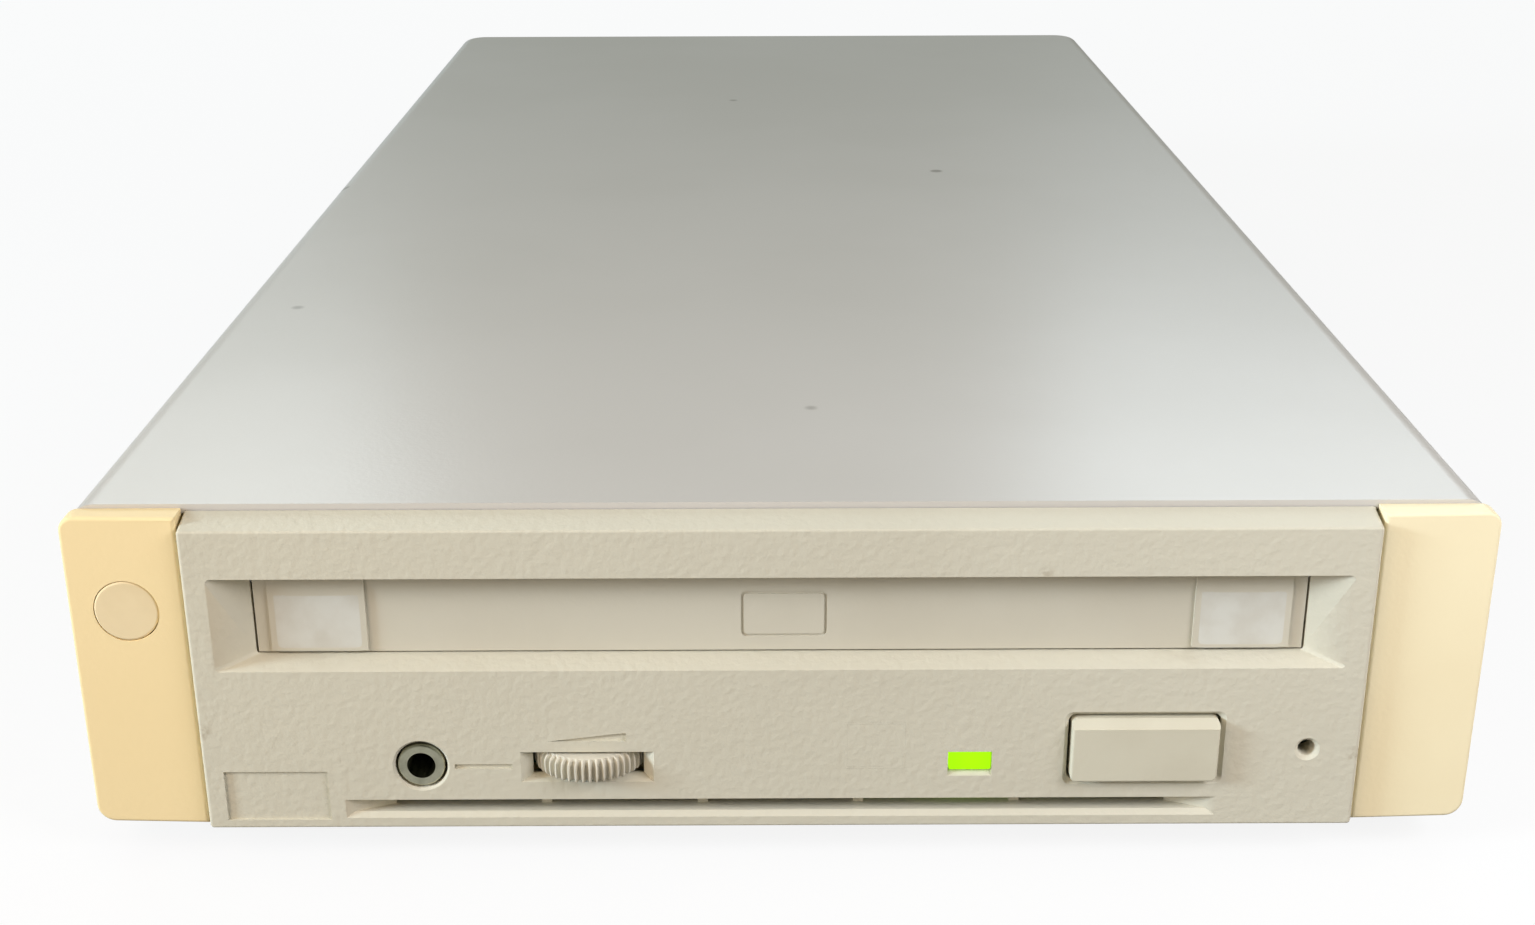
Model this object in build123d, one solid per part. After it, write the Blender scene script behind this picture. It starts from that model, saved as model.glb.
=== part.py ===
from build123d import *
import os
from math import acos, asin, cos, degrees, pi, radians, sin, sqrt, tan

# External compact disc drive that loads a disc in a caddy, in millimetres.
# X runs to the right seen from the front, Y runs from the front to the back and Z is up.
# The origin is on the surface that the feet stand on, under the middle of the whole object.

# Overall sizes of the case
CASE_WIDTH = 175.6
CASE_DEPTH = 356.0
FOOT_HEIGHT = 2.5
PAN_SHEET = 1.2
COVER_SHEET = 1.2
COVER_EDGE_RADIUS = 3.5
COVER_CORNER_RADIUS = 7.0
COVER_INSET = 0.3
COVER_FRONT = 4.6
REAR_RIM = 5.0
PANEL_RECESS = 8.0

# Drive front, a standard half-height bezel
BEZEL_WIDTH = 146.0
BEZEL_HEIGHT = 42.2
BEZEL_BOTTOM = 5.0
BEZEL_DEPTH = 8.4
BEZEL_SKIN = 3.4
BEZEL_WALL = 2.0
BEZEL_CHAMFER_HEIGHT = 1.0
BEZEL_CHAMFER_DEPTH = 4.2
COVER_ABOVE_BEZEL = 0.8
CHEEK_GAP = 0.35
SEAT_GAP = 0.3

# Door recess and door
RECESS_WIDTH = 140.2
RECESS_LOW = 27.3
RECESS_HIGH = 39.9
RECESS_DEPTH = 3.1
RECESS_SIDE_SLOPE = 4.6
RECESS_FLOOR_RISE = 1.1
RECESS_CORNER = 0.6
DOOR_SIDE_GAP = 0.3
DOOR_LOWER_GAP = 0.25
DOOR_SHEET = 2.0
DOOR_BARREL_RADIUS = 1.3
DOOR_PIN_RADIUS = 0.8
PIN_RUNNING = 0.05
PAD_WIDTH = 12.0
PAD_INSET = 1.8
PAD_PROUD = 0.4
PAD_SLOPE_HEIGHT = 1.4

# Controls on the drive front, X from the middle and Z from the ground
JACK_X = -45.4
CONTROL_Z = 14.0
JACK_RING_RADIUS = 3.0
JACK_BORE_RADIUS = 1.8
WHEEL_X = -24.4
WHEEL_RADIUS = 7.4
WHEEL_THICKNESS = 3.0
WHEEL_PROUD = 2.2
WHEEL_RIBS = 50
WHEEL_POCKET_DEPTH = 1.8
WHEEL_SLOT_GAP = 0.45
WHEEL_FLARE = 1.4
WHEEL_FLARE_DEPTH = 1.5
LAMP_X = 23.9
LAMP_Z = 14.4
LAMP_WIDTH = 5.3
LAMP_HEIGHT = 2.4
BUTTON_X = 45.8
BUTTON_Z = 16.15
BUTTON_WIDTH = 18.5
BUTTON_HEIGHT = 8.6
BUTTON_GAP = 0.35
BUTTON_PROUD = 1.1
BUTTON_TRAVEL = 1.0
RELEASE_X = 66.4
RELEASE_Z = 15.9
RELEASE_RADIUS = 1.1
VENT_HALF = 55.4
VENT_LOW = 6.45
VENT_HIGH = 9.1
VENT_DEPTH = 2.6
VENT_COUNT = 5
VENT_RIB = 1.3
VENT_END_SLOPE = 6.0
MARK_DEPTH = 0.35
MARK_LINE = (4.2, 11.5)
WEDGE_LENGTH = 9.9
WEDGE_HEIGHT = 1.2
WEDGE_LIFT = 3.4
BARE_PLACE = (13.2, 7.0)
BARE_PLACE_INSET = 2.5
BARE_PLACE_LIFT = 1.2
OUTLINE_SIZE = (10.7, 6.2)
OUTLINE_X = 0.45
OUTLINE_WIDTH = 0.35

# Drive body behind the bezel
DRIVE_DEPTH = 205.0
DRIVE_WIDTH = 142.8
CHASSIS_WALL = 2.4
CHASSIS_LOW = 7.6
CHASSIS_FLANGE = 1.4
CHASSIS_TOP = 44.8
TOP_PLATE_SHEET = 1.0
BOARD_SHEET = 1.6
BOARD_SIDE_GAP = 4.0
SPINDLE_DEPTH = 78.0

# Caddy and what carries it
CADDY_WIDTH = 124.6
CADDY_THICKNESS = 8.0
CADDY_LENGTH = 135.0
CADDY_SIDE_GAP = 1.1
CARRIER_LOW = 27.1
CARRIER_SHEET = 1.2
CARRIER_WALL = 1.4
CARRIER_FRONT = 10.0
CARRIER_DROP = 5.0
SLIDER_TRAVEL = 12.0
SLIDER_SHEET = 1.4
CAM_PIN_RADIUS = 1.2
CAM_SLOT_CLEARANCE = 0.15

# Gears
LOAD_MODULE = 0.8
LOAD_GEAR_TEETH = 14
LOAD_PINION_TEETH = 12
SLED_MODULE = 0.6
SLED_PINION_TEETH = 14
GEAR_BACKLASH = 0.14
MESH_EASE = 0.05

# Optical sled
SLED_TRAVEL = 35.0
SLED_HALF = 20.0
RAIL_RADIUS = 1.5
RAIL_X = 16.0
RAIL_Z = 15.5
# Pan, feet and screws
PAN_FRONT = 8.0
PAN_FLANGE_FRONT = 24.0
PAN_FLANGE_HIGH = 16.0
PAN_VENT_ROWS = (238.0, 262.0, 286.0)
PAN_VENT_LENGTH = 18.0
PAN_VENT_COUNT = 10
PAN_VENT_START = -70.0
PAN_VENT_PITCH = 6.0
FOOT_RADIUS = 7.0
FOOT_TAPER = 0.6
FOOT_SIDE_INSET = 16.0
FOOT_END_INSET = 24.0
COVER_SCREW_INSETS = (40.0, 36.0)
COVER_SCREW_Z = 9.5
SCREW_HEAD_RADIUS = 2.75
SCREW_HEAD_DEPTH = 1.1
SCREW_SHANK_RADIUS = 1.5
SCREW_FIT = 0.1
MOUNT_INSET = 5.0
MOUNT_DEPTHS = (50.0, 160.0)
MOUNT_BOSS_RADIUS = 5.0
MOUNT_HEAD_RADIUS = 2.8
MOUNT_HEAD_HEIGHT = 1.8
MOUNT_HEAD_LIFT = 0.4

# Side cheeks and the bare round badge place
CHEEK_FACE_INNER = 1.2
CHEEK_FACE_OUTER = 1.8
CHEEK_BELOW_TOP = 0.5
SPIGOT_BACK = 22.0
SPIGOT_WALL = 2.0
BADGE_ABOVE_LOW = 30.0
BADGE_RADIUS = 4.0
BADGE_DEPTH = 1.0

# Things on the rear panel
INLET_X = 64.0
INLET_Z = 24.0
INLET_BODY = (27.0, 20.0)
INLET_FLANGE = (31.0, 25.0)
INLET_CAVITY = (23.6, 16.4)
INLET_CAVITY_DEPTH = 13.0
INLET_FLANGE_PROUD = 3.0
BLADE_SIZE = (2.0, 4.0)
BLADE_PLACES = ((-7.0, -1.8), (7.0, -1.8), (0.0, 2.2))
BLADE_TAIL = 23.0
SWITCH_X = 36.0
SWITCH_Z = 34.0
SWITCH_BODY = (18.6, 12.4)
SWITCH_FLANGE = (21.0, 15.0)
SWITCH_TAIL = 21.0
ROCKER_TILT = 10.0
ROCKER_WIDTH = 14.2
ROCKER_HEIGHT = 9.6
ROCKER_ROOM = 1.1
ROCKER_SIDE_GAP = 0.35
ROCKER_PIVOT_RADIUS = 0.9
ROCKER_AXIS_INSET = 2.8
SOCKET_X = -34.0
SOCKET_ZS = (16.0, 35.0)
SOCKET_FLANGE = (91.0, 13.0)
SOCKET_BODY = (66.0, 11.0)
SOCKET_PLATE = 1.2
SOCKET_SHELL = 0.8
SOCKET_PROUD = 6.0
SOCKET_CORE_BACK = 9.0
SOCKET_SLOT = (57.0, 5.2)
SOCKET_SLOT_DEPTH = 4.0
BAIL_WIRE = 0.8
BAIL_LENGTH = 6.2
BAIL_PIVOT = 40.5
BAIL_DEPTH = 3.4
BAIL_HALF = 6.6
BAIL_END = 3.4
SELECTOR_X = 18.0
SELECTOR_Z = 32.0
SELECTOR_FLANGE = (9.6, 25.0)
SELECTOR_BODY = (8.0, 22.0)
SELECTOR_PLATE = 1.2
SELECTOR_BUTTON_Z = 8.6
SELECTOR_BUTTON_SIZE = (4.7, 3.1)
SELECTOR_BUTTON_LENGTH = 6.3
SELECTOR_BUTTON_PROUD = 1.5
SELECTOR_BUTTON_GAP = 0.15
SELECTOR_TRAVEL = 1.0
DRUM_RADIUS = 5.0
DRUM_WIDTH = 4.4
DRUM_AXLE_RADIUS = 1.0
AUDIO_XS = (24.0, 38.0)
AUDIO_Z = 14.0
AUDIO_COLLAR = 1.4
AUDIO_COLLAR_RADIUS = 5.4
AUDIO_NECK_RADIUS = 2.95
AUDIO_SLEEVE_RADIUS = 4.15
AUDIO_SLEEVE_LENGTH = 6.2
AUDIO_PIN_RADIUS = 1.65
PANEL_SHEET = 1.2
PANEL_FOOT = 12.0
PANEL_VENT_COUNT = 9
PANEL_VENT_START = 50.0
PANEL_VENT_PITCH = 3.4
PANEL_VENT_Z = (38.6, 43.4)
FIT = 0.2

# Behind the controls
WHEEL_POST = 2.5
BUTTON_STEM_RADIUS = 1.6
BUTTON_CAP_BACK = 3.0
SWITCH_PLUNGER_DEPTH = 9.6

# Drive mechanism
GROMMET_X = 57.0
GROMMET_DEPTHS = (51.0, 167.0)
GROMMET_HOLE = 3.0
GROMMET_RADIUS = 4.4
SLIDER_FRONT = 40.0
SLIDER_BACK = 190.0
CAM_DEPTHS = (62.0, 142.0)
LOAD_GEAR_DEPTH = 180.0
LOAD_RACK_TEETH = 10
LOAD_PINION_DROP = 1.2
GEAR_POST_RADIUS = 1.5
MOTOR_SHAFT_RADIUS = 1.0
LOAD_MOTOR_RADIUS = 7.6
LOAD_MOTOR_LENGTH = 24.0
SIDE_RAIL = 13.0
DECK_LOW = 18.6
DECK_SHEET = 1.6
DECK_HALF = 62.0
DECK_RANGE = (45.0, 176.0)
DECK_OPENING_HALF = 25.0
RAIL_FRONT = 92.4
RAIL_BACK = 168.4
EAR_THICKNESS = 2.4
SPINDLE_RADIUS = 1.0
MOTOR_BOSS_RADIUS = 5.0
CLAMP_AXIS_DEPTH = 172.0
CLAMP_AXIS_Z = 41.2
CLAMP_PIN_RADIUS = 1.5
CLAMP_EAR_X = 14.4
CLAMP_BARREL = 3.0
ARM_SHEET = 1.6
SLED_FRONT = 95.6
SLED_LENGTH = 31.4
SLED_LOW = 12.2
SLED_TOP = 23.4
SLED_RACK_Z = (12.4, 14.4)
LENS_RADIUS = 3.4

# Power supply and wiring
SUPPLY_X = (-6.0, 80.0)
SUPPLY_DEPTH = (224.0, 322.0)
SUPPLY_POST_INSET = 6.0
POST_RADIUS = 3.0
CABLE_WIDTH = 52.0
CABLE_SHEET = 0.9
SUPPLY_PLUG_X = 24.0

# Values worked out from the sizes above
FRONT_Y = -(CASE_DEPTH - WHEEL_PROUD) / 2
PAN_TOP = FOOT_HEIGHT + PAN_SHEET
BEZEL_TOP = BEZEL_BOTTOM + BEZEL_HEIGHT
CASE_TOP = BEZEL_TOP + COVER_ABOVE_BEZEL
COVER_HALF = CASE_WIDTH / 2 - COVER_INSET
INNER_HALF = COVER_HALF - COVER_SHEET
INNER_TOP = CASE_TOP - COVER_SHEET
BEZEL_HALF = BEZEL_WIDTH / 2
DRIVE_HALF = DRIVE_WIDTH / 2
WALL_INSIDE = DRIVE_HALF - CHASSIS_WALL
BOARD_LOW = CHASSIS_LOW + CHASSIS_FLANGE
BOARD_TOP = BOARD_LOW + BOARD_SHEET
PAN_BACK = CASE_DEPTH - COVER_SHEET - SEAT_GAP
PANEL_FACE = CASE_DEPTH - PANEL_RECESS
FOOT_X = CASE_WIDTH / 2 - FOOT_SIDE_INSET
FOOT_DEPTHS = (FOOT_END_INSET, CASE_DEPTH - FOOT_END_INSET)
COVER_SCREW_DEPTHS = (COVER_SCREW_INSETS[0], CASE_DEPTH - COVER_SCREW_INSETS[1])
MOUNT_X = DRIVE_HALF - MOUNT_INSET
CHEEK_INSIDE = BEZEL_HALF + CHEEK_GAP
CHEEK_OUTSIDE = CASE_WIDTH / 2
CHEEK_TOP = CASE_TOP - CHEEK_BELOW_TOP
CHEEK_BACK = COVER_FRONT - 0.1
BADGE_X = -(CHEEK_INSIDE + CHEEK_OUTSIDE) / 2
BADGE_Z = BEZEL_BOTTOM + BADGE_ABOVE_LOW
BADGE_SEAT_DEPTH = (CHEEK_FACE_INNER + CHEEK_FACE_OUTER) / 2 + BADGE_DEPTH
ROCKER_AXIS = PANEL_FACE - ROCKER_AXIS_INSET
SELECTOR_FACE = PANEL_FACE + SELECTOR_PLATE
DRUM_DEPTH = SELECTOR_FACE - DRUM_RADIUS - 0.4
OPENING_HALF = RECESS_WIDTH / 2 - RECESS_SIDE_SLOPE
OPENING_LOW = RECESS_LOW + RECESS_FLOOR_RISE
DOOR_AXIS_DEPTH = RECESS_DEPTH + DOOR_BARREL_RADIUS
DOOR_AXIS_Z = RECESS_HIGH - SEAT_GAP - DOOR_BARREL_RADIUS
WHEEL_DEPTH = WHEEL_RADIUS - WHEEL_PROUD
WHEEL_LOW = CONTROL_Z - WHEEL_THICKNESS / 2
WHEEL_SLOT_HALF = sqrt(WHEEL_RADIUS ** 2 - (WHEEL_DEPTH - WHEEL_POCKET_DEPTH) ** 2) + WHEEL_SLOT_GAP
POST_BORE = WHEEL_POST + 0.06
RIM_TOP = INNER_TOP - 0.4
DECK_TOP = DECK_LOW + DECK_SHEET
LUG_TOP = DECK_LOW - 1.6
CARRIER_INSIDE = CADDY_WIDTH / 2 + CADDY_SIDE_GAP
CARRIER_OUTSIDE = CARRIER_INSIDE + CARRIER_WALL
CARRIER_FLOOR_TOP = CARRIER_LOW + CARRIER_SHEET
CARRIER_HIGH = CARRIER_FLOOR_TOP + CADDY_THICKNESS + 1.3
CARRIER_BACK = CARRIER_FRONT + CADDY_LENGTH + 5.0
SLIDER_INSIDE = CARRIER_OUTSIDE + 1.2
SLIDER_OUTSIDE = SLIDER_INSIDE + SLIDER_SHEET
LEDGE_TOP = CARRIER_LOW - 0.7
SLIDER_LOW = LEDGE_TOP + 0.1
SLIDER_HIGH = CARRIER_HIGH + 0.4
CAM_Z = SLIDER_HIGH - 3.5
LOAD_PITCH_Z = SLIDER_LOW - 1.1
LOAD_GEAR_RADIUS = LOAD_MODULE * LOAD_GEAR_TEETH / 2
LOAD_PINION_RADIUS = LOAD_MODULE * LOAD_PINION_TEETH / 2
LOAD_GEAR_Z = LOAD_PITCH_Z - LOAD_GEAR_RADIUS - MESH_EASE
LOAD_CENTRES = LOAD_GEAR_RADIUS + LOAD_PINION_RADIUS + MESH_EASE
LOAD_PINION_DEPTH = LOAD_GEAR_DEPTH + (LOAD_CENTRES ** 2 - LOAD_PINION_DROP ** 2) ** 0.5
LOAD_PINION_Z = LOAD_GEAR_Z - LOAD_PINION_DROP
GEAR_X = (SLIDER_INSIDE - 1.0, SLIDER_OUTSIDE + 0.6)
BRACKET_X = (GEAR_X[0] - 2.2, GEAR_X[0] - 0.6)
TURNTABLE_TOP = CARRIER_FLOOR_TOP - 0.9
MOTOR_LOW = BOARD_TOP + 0.8
PUCK_LOW = CARRIER_FLOOR_TOP + CADDY_THICKNESS + 0.9
ARM_LOW = PUCK_LOW + 2.4
LENS_DEPTH = SLED_FRONT + 6.0
SLED_PITCH_X = -SLED_HALF - 2.9
SLED_PINION_RADIUS = SLED_MODULE * SLED_PINION_TEETH / 2
SLED_PINION_X = SLED_PITCH_X - SLED_PINION_RADIUS - MESH_EASE
SLED_PINION_DEPTH = SLED_FRONT + SLED_LENGTH + 2.0
X_WAY = (1, 0, 0)
Y_WAY = (0, 1, 0)
Z_WAY = (0, 0, 1)


def deep(depth):
    """Y of a place that lies this far behind the face of the drive bezel."""
    return FRONT_Y + depth


def block(x, depth, z):
    """Box between pairs of X, depth behind the bezel face, and Z."""
    middle = Pos((x[0] + x[1]) / 2, deep((depth[0] + depth[1]) / 2), (z[0] + z[1]) / 2)
    return middle * Box(x[1] - x[0], depth[1] - depth[0], z[1] - z[0])


def rod(x, depth, z, way, length, radius):
    """Cylinder that starts at a place and runs along way."""
    round_bar = Cylinder(radius, length, align=(Align.CENTER, Align.CENTER, Align.MIN))
    return Plane(origin=(x, deep(depth), z), z_dir=way) * round_bar


def cone(x, depth, z, way, length, radius, end_radius):
    """Cone from radius to end_radius along way."""
    shape = Cone(radius, end_radius, length, align=(Align.CENTER, Align.CENTER, Align.MIN))
    return Plane(origin=(x, deep(depth), z), z_dir=way) * shape


def panel_shape(x, z, depth, corner=0.0):
    """Flat rectangle that faces along Y, with its corners rounded when a radius is given."""
    place = Plane(origin=((x[0] + x[1]) / 2, deep(depth), (z[0] + z[1]) / 2), x_dir=X_WAY, z_dir=Y_WAY)
    width, height = x[1] - x[0], z[1] - z[0]
    if corner > 0:
        return place * RectangleRounded(width, height, corner)
    return place * Rectangle(width, height)


def rounded_block(x, depth, z, corner):
    """Block whose four edges along Y are rounded."""
    return extrude(panel_shape(x, z, depth[0], corner), depth[1] - depth[0], dir=Y_WAY)


def tapered(front_x, front_z, back_x, back_z, depth, corner=0.0):
    """Wedge between a rectangle at the first depth and another at the second."""
    front = panel_shape(front_x, front_z, depth[0], corner)
    return loft([front, panel_shape(back_x, back_z, depth[1], corner)])


def side_profile(points, x):
    """Solid with an outline of (depth, Z) points, between two X values."""
    outline = [(x[0], deep(depth), z) for depth, z in points]
    return extrude(make_face(Polyline(*outline, close=True)), x[1] - x[0], dir=X_WAY)


def edges_where(shape, test):
    """Edges whose centre passes a test on X, depth and Z."""
    return [e for e in shape.edges() if test(e.center().X, e.center().Y - FRONT_Y, e.center().Z)]


def both_sides(shape):
    """A shape and its mirror image on the other side of the middle."""
    return shape + mirror(shape, Plane.YZ)


def involute_angle(angle):
    """Involute function of an angle in radians."""
    return tan(angle) - angle


def gear_sketch(teeth, module, first_tooth):
    """Stub-toothed involute outline, with a tooth centred on the angle first_tooth in degrees."""
    pressure = radians(20)
    pitch_radius = module * teeth / 2
    base_radius = pitch_radius * cos(pressure)
    tip_radius = pitch_radius + 0.8 * module
    root_radius = pitch_radius - 1.0 * module
    half_at_pitch = pi / (2 * teeth) - GEAR_BACKLASH / (4 * pitch_radius)
    start = max(base_radius, root_radius)
    flank = [start + (tip_radius - start) * step / 4 for step in range(5)]
    halves = []
    for radius in flank:
        turned = involute_angle(acos(min(1.0, base_radius / radius)))
        halves.append((radius, half_at_pitch + involute_angle(pressure) - turned))
    side = [(root_radius, halves[0][1])] + halves if root_radius < start else halves
    points = []
    for tooth in range(teeth):
        middle = radians(first_tooth) + 2 * pi * tooth / teeth
        points += [(r * cos(middle - a), r * sin(middle - a)) for r, a in side]
        points += [(r * cos(middle + a), r * sin(middle + a)) for r, a in reversed(side)]
    return make_face(Polyline(*points, close=True))


def rack_points(module, teeth):
    """Outline of a rack along its length, with a gap centred on 0 and teeth pointing along minus."""
    pitch = pi * module
    rise = 0.8 * module
    fall = 1.0 * module
    lean = tan(radians(20))
    half = pitch / 4 - GEAR_BACKLASH / 4
    points = []
    for tooth in range(teeth):
        middle = (tooth - (teeth - 1) / 2) * pitch
        points.append((middle - half - fall * lean, fall))
        points.append((middle - half + rise * lean, -rise))
        points.append((middle + half - rise * lean, -rise))
        points.append((middle + half + fall * lean, fall))
    return points


# Case

def cover_body(half, top, front, back, corner, edge, low):
    """Block that is rounded at its two back corners and round its top edge."""
    body = block((-half, half), (front, back), (low, top))
    corners = edges_where(body, lambda x, d, z: abs(abs(x) - half) < 0.01 and abs(d - back) < 0.01)
    body = fillet(corners, corner)
    rim = edges_where(body, lambda x, d, z: abs(z - top) < 0.01 and d > front + 0.1)
    return fillet(rim, edge)


def make_top_cover():
    low = PAN_TOP + SEAT_GAP
    outer = cover_body(COVER_HALF, CASE_TOP, COVER_FRONT, CASE_DEPTH,
                       COVER_CORNER_RADIUS, COVER_EDGE_RADIUS, low)
    inner = cover_body(INNER_HALF, INNER_TOP, COVER_FRONT - 1, CASE_DEPTH - COVER_SHEET,
                       COVER_CORNER_RADIUS - COVER_SHEET, COVER_EDGE_RADIUS - COVER_SHEET, low - 1)
    side = COVER_HALF - REAR_RIM
    window = rounded_block((-side, side), (CASE_DEPTH - 10, CASE_DEPTH + 1),
                           (low + REAR_RIM - 1, CASE_TOP - REAR_RIM), 2.0)
    cover = outer - inner - window
    for depth in COVER_SCREW_DEPTHS:
        hole = cone(COVER_HALF, depth, COVER_SCREW_Z, (-1, 0, 0), SCREW_HEAD_DEPTH + 0.1,
                    SCREW_HEAD_RADIUS + SCREW_FIT, SCREW_SHANK_RADIUS + SCREW_FIT)
        cover -= both_sides(hole)
    return cover


def make_base_pan():
    half = INNER_HALF - SEAT_GAP
    floor = block((-half, half), (PAN_FRONT, PAN_BACK), (FOOT_HEIGHT, PAN_TOP))
    corner = COVER_CORNER_RADIUS - COVER_SHEET
    back_corners = edges_where(floor, lambda x, d, z: d > PAN_BACK - 0.1 and abs(abs(x) - half) < 0.01)
    floor = fillet(back_corners, corner)
    flange = block((half - PAN_SHEET, half), (PAN_FLANGE_FRONT, PANEL_FACE - PANEL_FOOT - 1),
                   (PAN_TOP, PAN_FLANGE_HIGH))
    pan = floor + both_sides(flange)
    for depth in MOUNT_DEPTHS:
        boss = rod(MOUNT_X, depth, PAN_TOP, Z_WAY, CHASSIS_LOW - PAN_TOP, MOUNT_BOSS_RADIUS)
        bore = rod(MOUNT_X, depth, 0, Z_WAY, CHASSIS_LOW + 1, SCREW_SHANK_RADIUS + 0.15)
        sink = rod(MOUNT_X, depth, 0, Z_WAY, FOOT_HEIGHT + MOUNT_HEAD_LIFT + MOUNT_HEAD_HEIGHT,
                   MOUNT_HEAD_RADIUS + 0.15)
        pan = pan + both_sides(boss) - both_sides(bore) - both_sides(sink)
    for depth in COVER_SCREW_DEPTHS:
        hole = rod(half + 1, depth, COVER_SCREW_Z, (-1, 0, 0), 4, SCREW_SHANK_RADIUS + SCREW_FIT)
        pan -= both_sides(hole)
    for x, depth in supply_posts():
        post = rod(x, depth, PAN_TOP, Z_WAY, BOARD_LOW - PAN_TOP, POST_RADIUS)
        pan += post
    for row in PAN_VENT_ROWS:
        for step in range(PAN_VENT_COUNT):
            x = PAN_VENT_START + PAN_VENT_PITCH * step
            pan -= block((x, x + PAN_VENT_PITCH / 2), (row, row + PAN_VENT_LENGTH),
                         (FOOT_HEIGHT - 1, PAN_TOP + 1))
    return pan


def supply_posts():
    """Places of the four posts under the power supply board."""
    inset = SUPPLY_POST_INSET
    return [(x, d) for x in (SUPPLY_X[0] + inset, SUPPLY_X[1] - inset)
            for d in (SUPPLY_DEPTH[0] + inset, SUPPLY_DEPTH[1] - inset)]


def make_rubber_feet():
    feet = []
    for x in (-FOOT_X, FOOT_X):
        for depth in FOOT_DEPTHS:
            feet.append(cone(x, depth, 0, Z_WAY, FOOT_HEIGHT, FOOT_RADIUS - FOOT_TAPER, FOOT_RADIUS))
    return feet


def make_cover_screws():
    screws = []
    for side in (-1, 1):
        for depth in COVER_SCREW_DEPTHS:
            head = cone(side * COVER_HALF, depth, COVER_SCREW_Z, (-side, 0, 0), SCREW_HEAD_DEPTH,
                        SCREW_HEAD_RADIUS, SCREW_SHANK_RADIUS)
            shank = rod(side * (COVER_HALF - SCREW_HEAD_DEPTH), depth, COVER_SCREW_Z, (-side, 0, 0),
                        5.0, SCREW_SHANK_RADIUS)
            slot_x = sorted((side * (COVER_HALF - 0.5), side * (COVER_HALF + 1)))
            bar = block(slot_x, (depth - 1.6, depth + 1.6), (COVER_SCREW_Z - 0.3, COVER_SCREW_Z + 0.3))
            post = block(slot_x, (depth - 0.3, depth + 0.3), (COVER_SCREW_Z - 1.6, COVER_SCREW_Z + 1.6))
            screws.append(head + shank - bar - post)
    return screws


def make_drive_mount_screws():
    screws = []
    low = FOOT_HEIGHT + MOUNT_HEAD_LIFT
    neck = low + MOUNT_HEAD_HEIGHT
    for side in (-1, 1):
        for depth in MOUNT_DEPTHS:
            x = side * MOUNT_X
            head = rod(x, depth, low, Z_WAY, MOUNT_HEAD_HEIGHT, MOUNT_HEAD_RADIUS)
            shank = rod(x, depth, neck, Z_WAY, BOARD_LOW - neck, SCREW_SHANK_RADIUS)
            bar = block((x - 1.8, x + 1.8), (depth - 0.35, depth + 0.35), (low - 1, low + 0.8))
            post = block((x - 0.35, x + 0.35), (depth - 1.8, depth + 1.8), (low - 1, low + 0.8))
            screws.append(head + shank - bar - post)
    return screws


def make_front_frame():
    low = BEZEL_BOTTOM
    plan = [(CHEEK_INSIDE, CHEEK_FACE_INNER), (CHEEK_OUTSIDE, CHEEK_FACE_OUTER),
            (CHEEK_OUTSIDE, CHEEK_BACK), (CHEEK_INSIDE, CHEEK_BACK)]
    outline = make_face(Polyline(*[(x, deep(d), low) for x, d in plan], close=True))
    cheek = extrude(outline, CHEEK_TOP - low, dir=Z_WAY)
    outer_top = edges_where(cheek, lambda x, d, z: x > CHEEK_OUTSIDE - 0.01 and z > CHEEK_TOP - 0.01)
    cheek = fillet(outer_top, 2.0)
    outer_low = edges_where(cheek, lambda x, d, z: x > CHEEK_OUTSIDE - 0.01 and z < low + 0.01)
    cheek = fillet(outer_low, 2.3)
    cheek = fillet(edges_where(cheek, lambda x, d, z: d < CHEEK_FACE_OUTER + 0.1 and z > low + 0.5), 0.5)
    half, high = INNER_HALF - SEAT_GAP, INNER_TOP - SEAT_GAP
    spigot = block((CHEEK_INSIDE, half), (CHEEK_BACK, SPIGOT_BACK), (PAN_TOP, high))
    spigot = fillet(edges_where(spigot, lambda x, d, z: z > high - 0.2 and x > half - 0.2),
                    COVER_EDGE_RADIUS - COVER_SHEET)
    pocket = block((CHEEK_INSIDE + SPIGOT_WALL, half - SPIGOT_WALL), (CHEEK_BACK + 0.5, SPIGOT_BACK + 1),
                   (PAN_TOP + SPIGOT_WALL, high - SPIGOT_WALL))
    toe = block((CHEEK_INSIDE - 1, CASE_WIDTH), (0, PAN_FRONT + SEAT_GAP), (0, low))
    bar = block((-CHEEK_INSIDE - 0.5, CHEEK_INSIDE + 0.5), (9.0, 20.0), (low, CHASSIS_LOW - 0.4))
    frame = both_sides(cheek + (spigot - pocket - toe)) + bar
    seat = rod(BADGE_X, 0, BADGE_Z, Y_WAY, BADGE_SEAT_DEPTH, BADGE_RADIUS + 0.1)
    return frame - seat


def make_blank_badge():
    badge = rod(BADGE_X, BADGE_SEAT_DEPTH - BADGE_DEPTH, BADGE_Z, Y_WAY, BADGE_DEPTH, BADGE_RADIUS)
    return fillet(edges_where(badge, lambda x, d, z: d < BADGE_SEAT_DEPTH - BADGE_DEPTH + 0.1), 0.3)


# Things on the rear panel
def around(x, z, size, grow=0.0):
    """X and Z ranges of a rectangle of this size round a place."""
    wide, high = size[0] / 2 + grow, size[1] / 2 + grow
    return ((x - wide, x + wide), (z - high, z + high))


def panel_block(x, z, size, depth, grow=0.0, corner=0.0):
    """Block of this size round a place on the rear panel, between two depths."""
    wide, high = around(x, z, size, grow)
    if corner > 0:
        return rounded_block(wide, depth, high, corner)
    return block(wide, depth, high)


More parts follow.
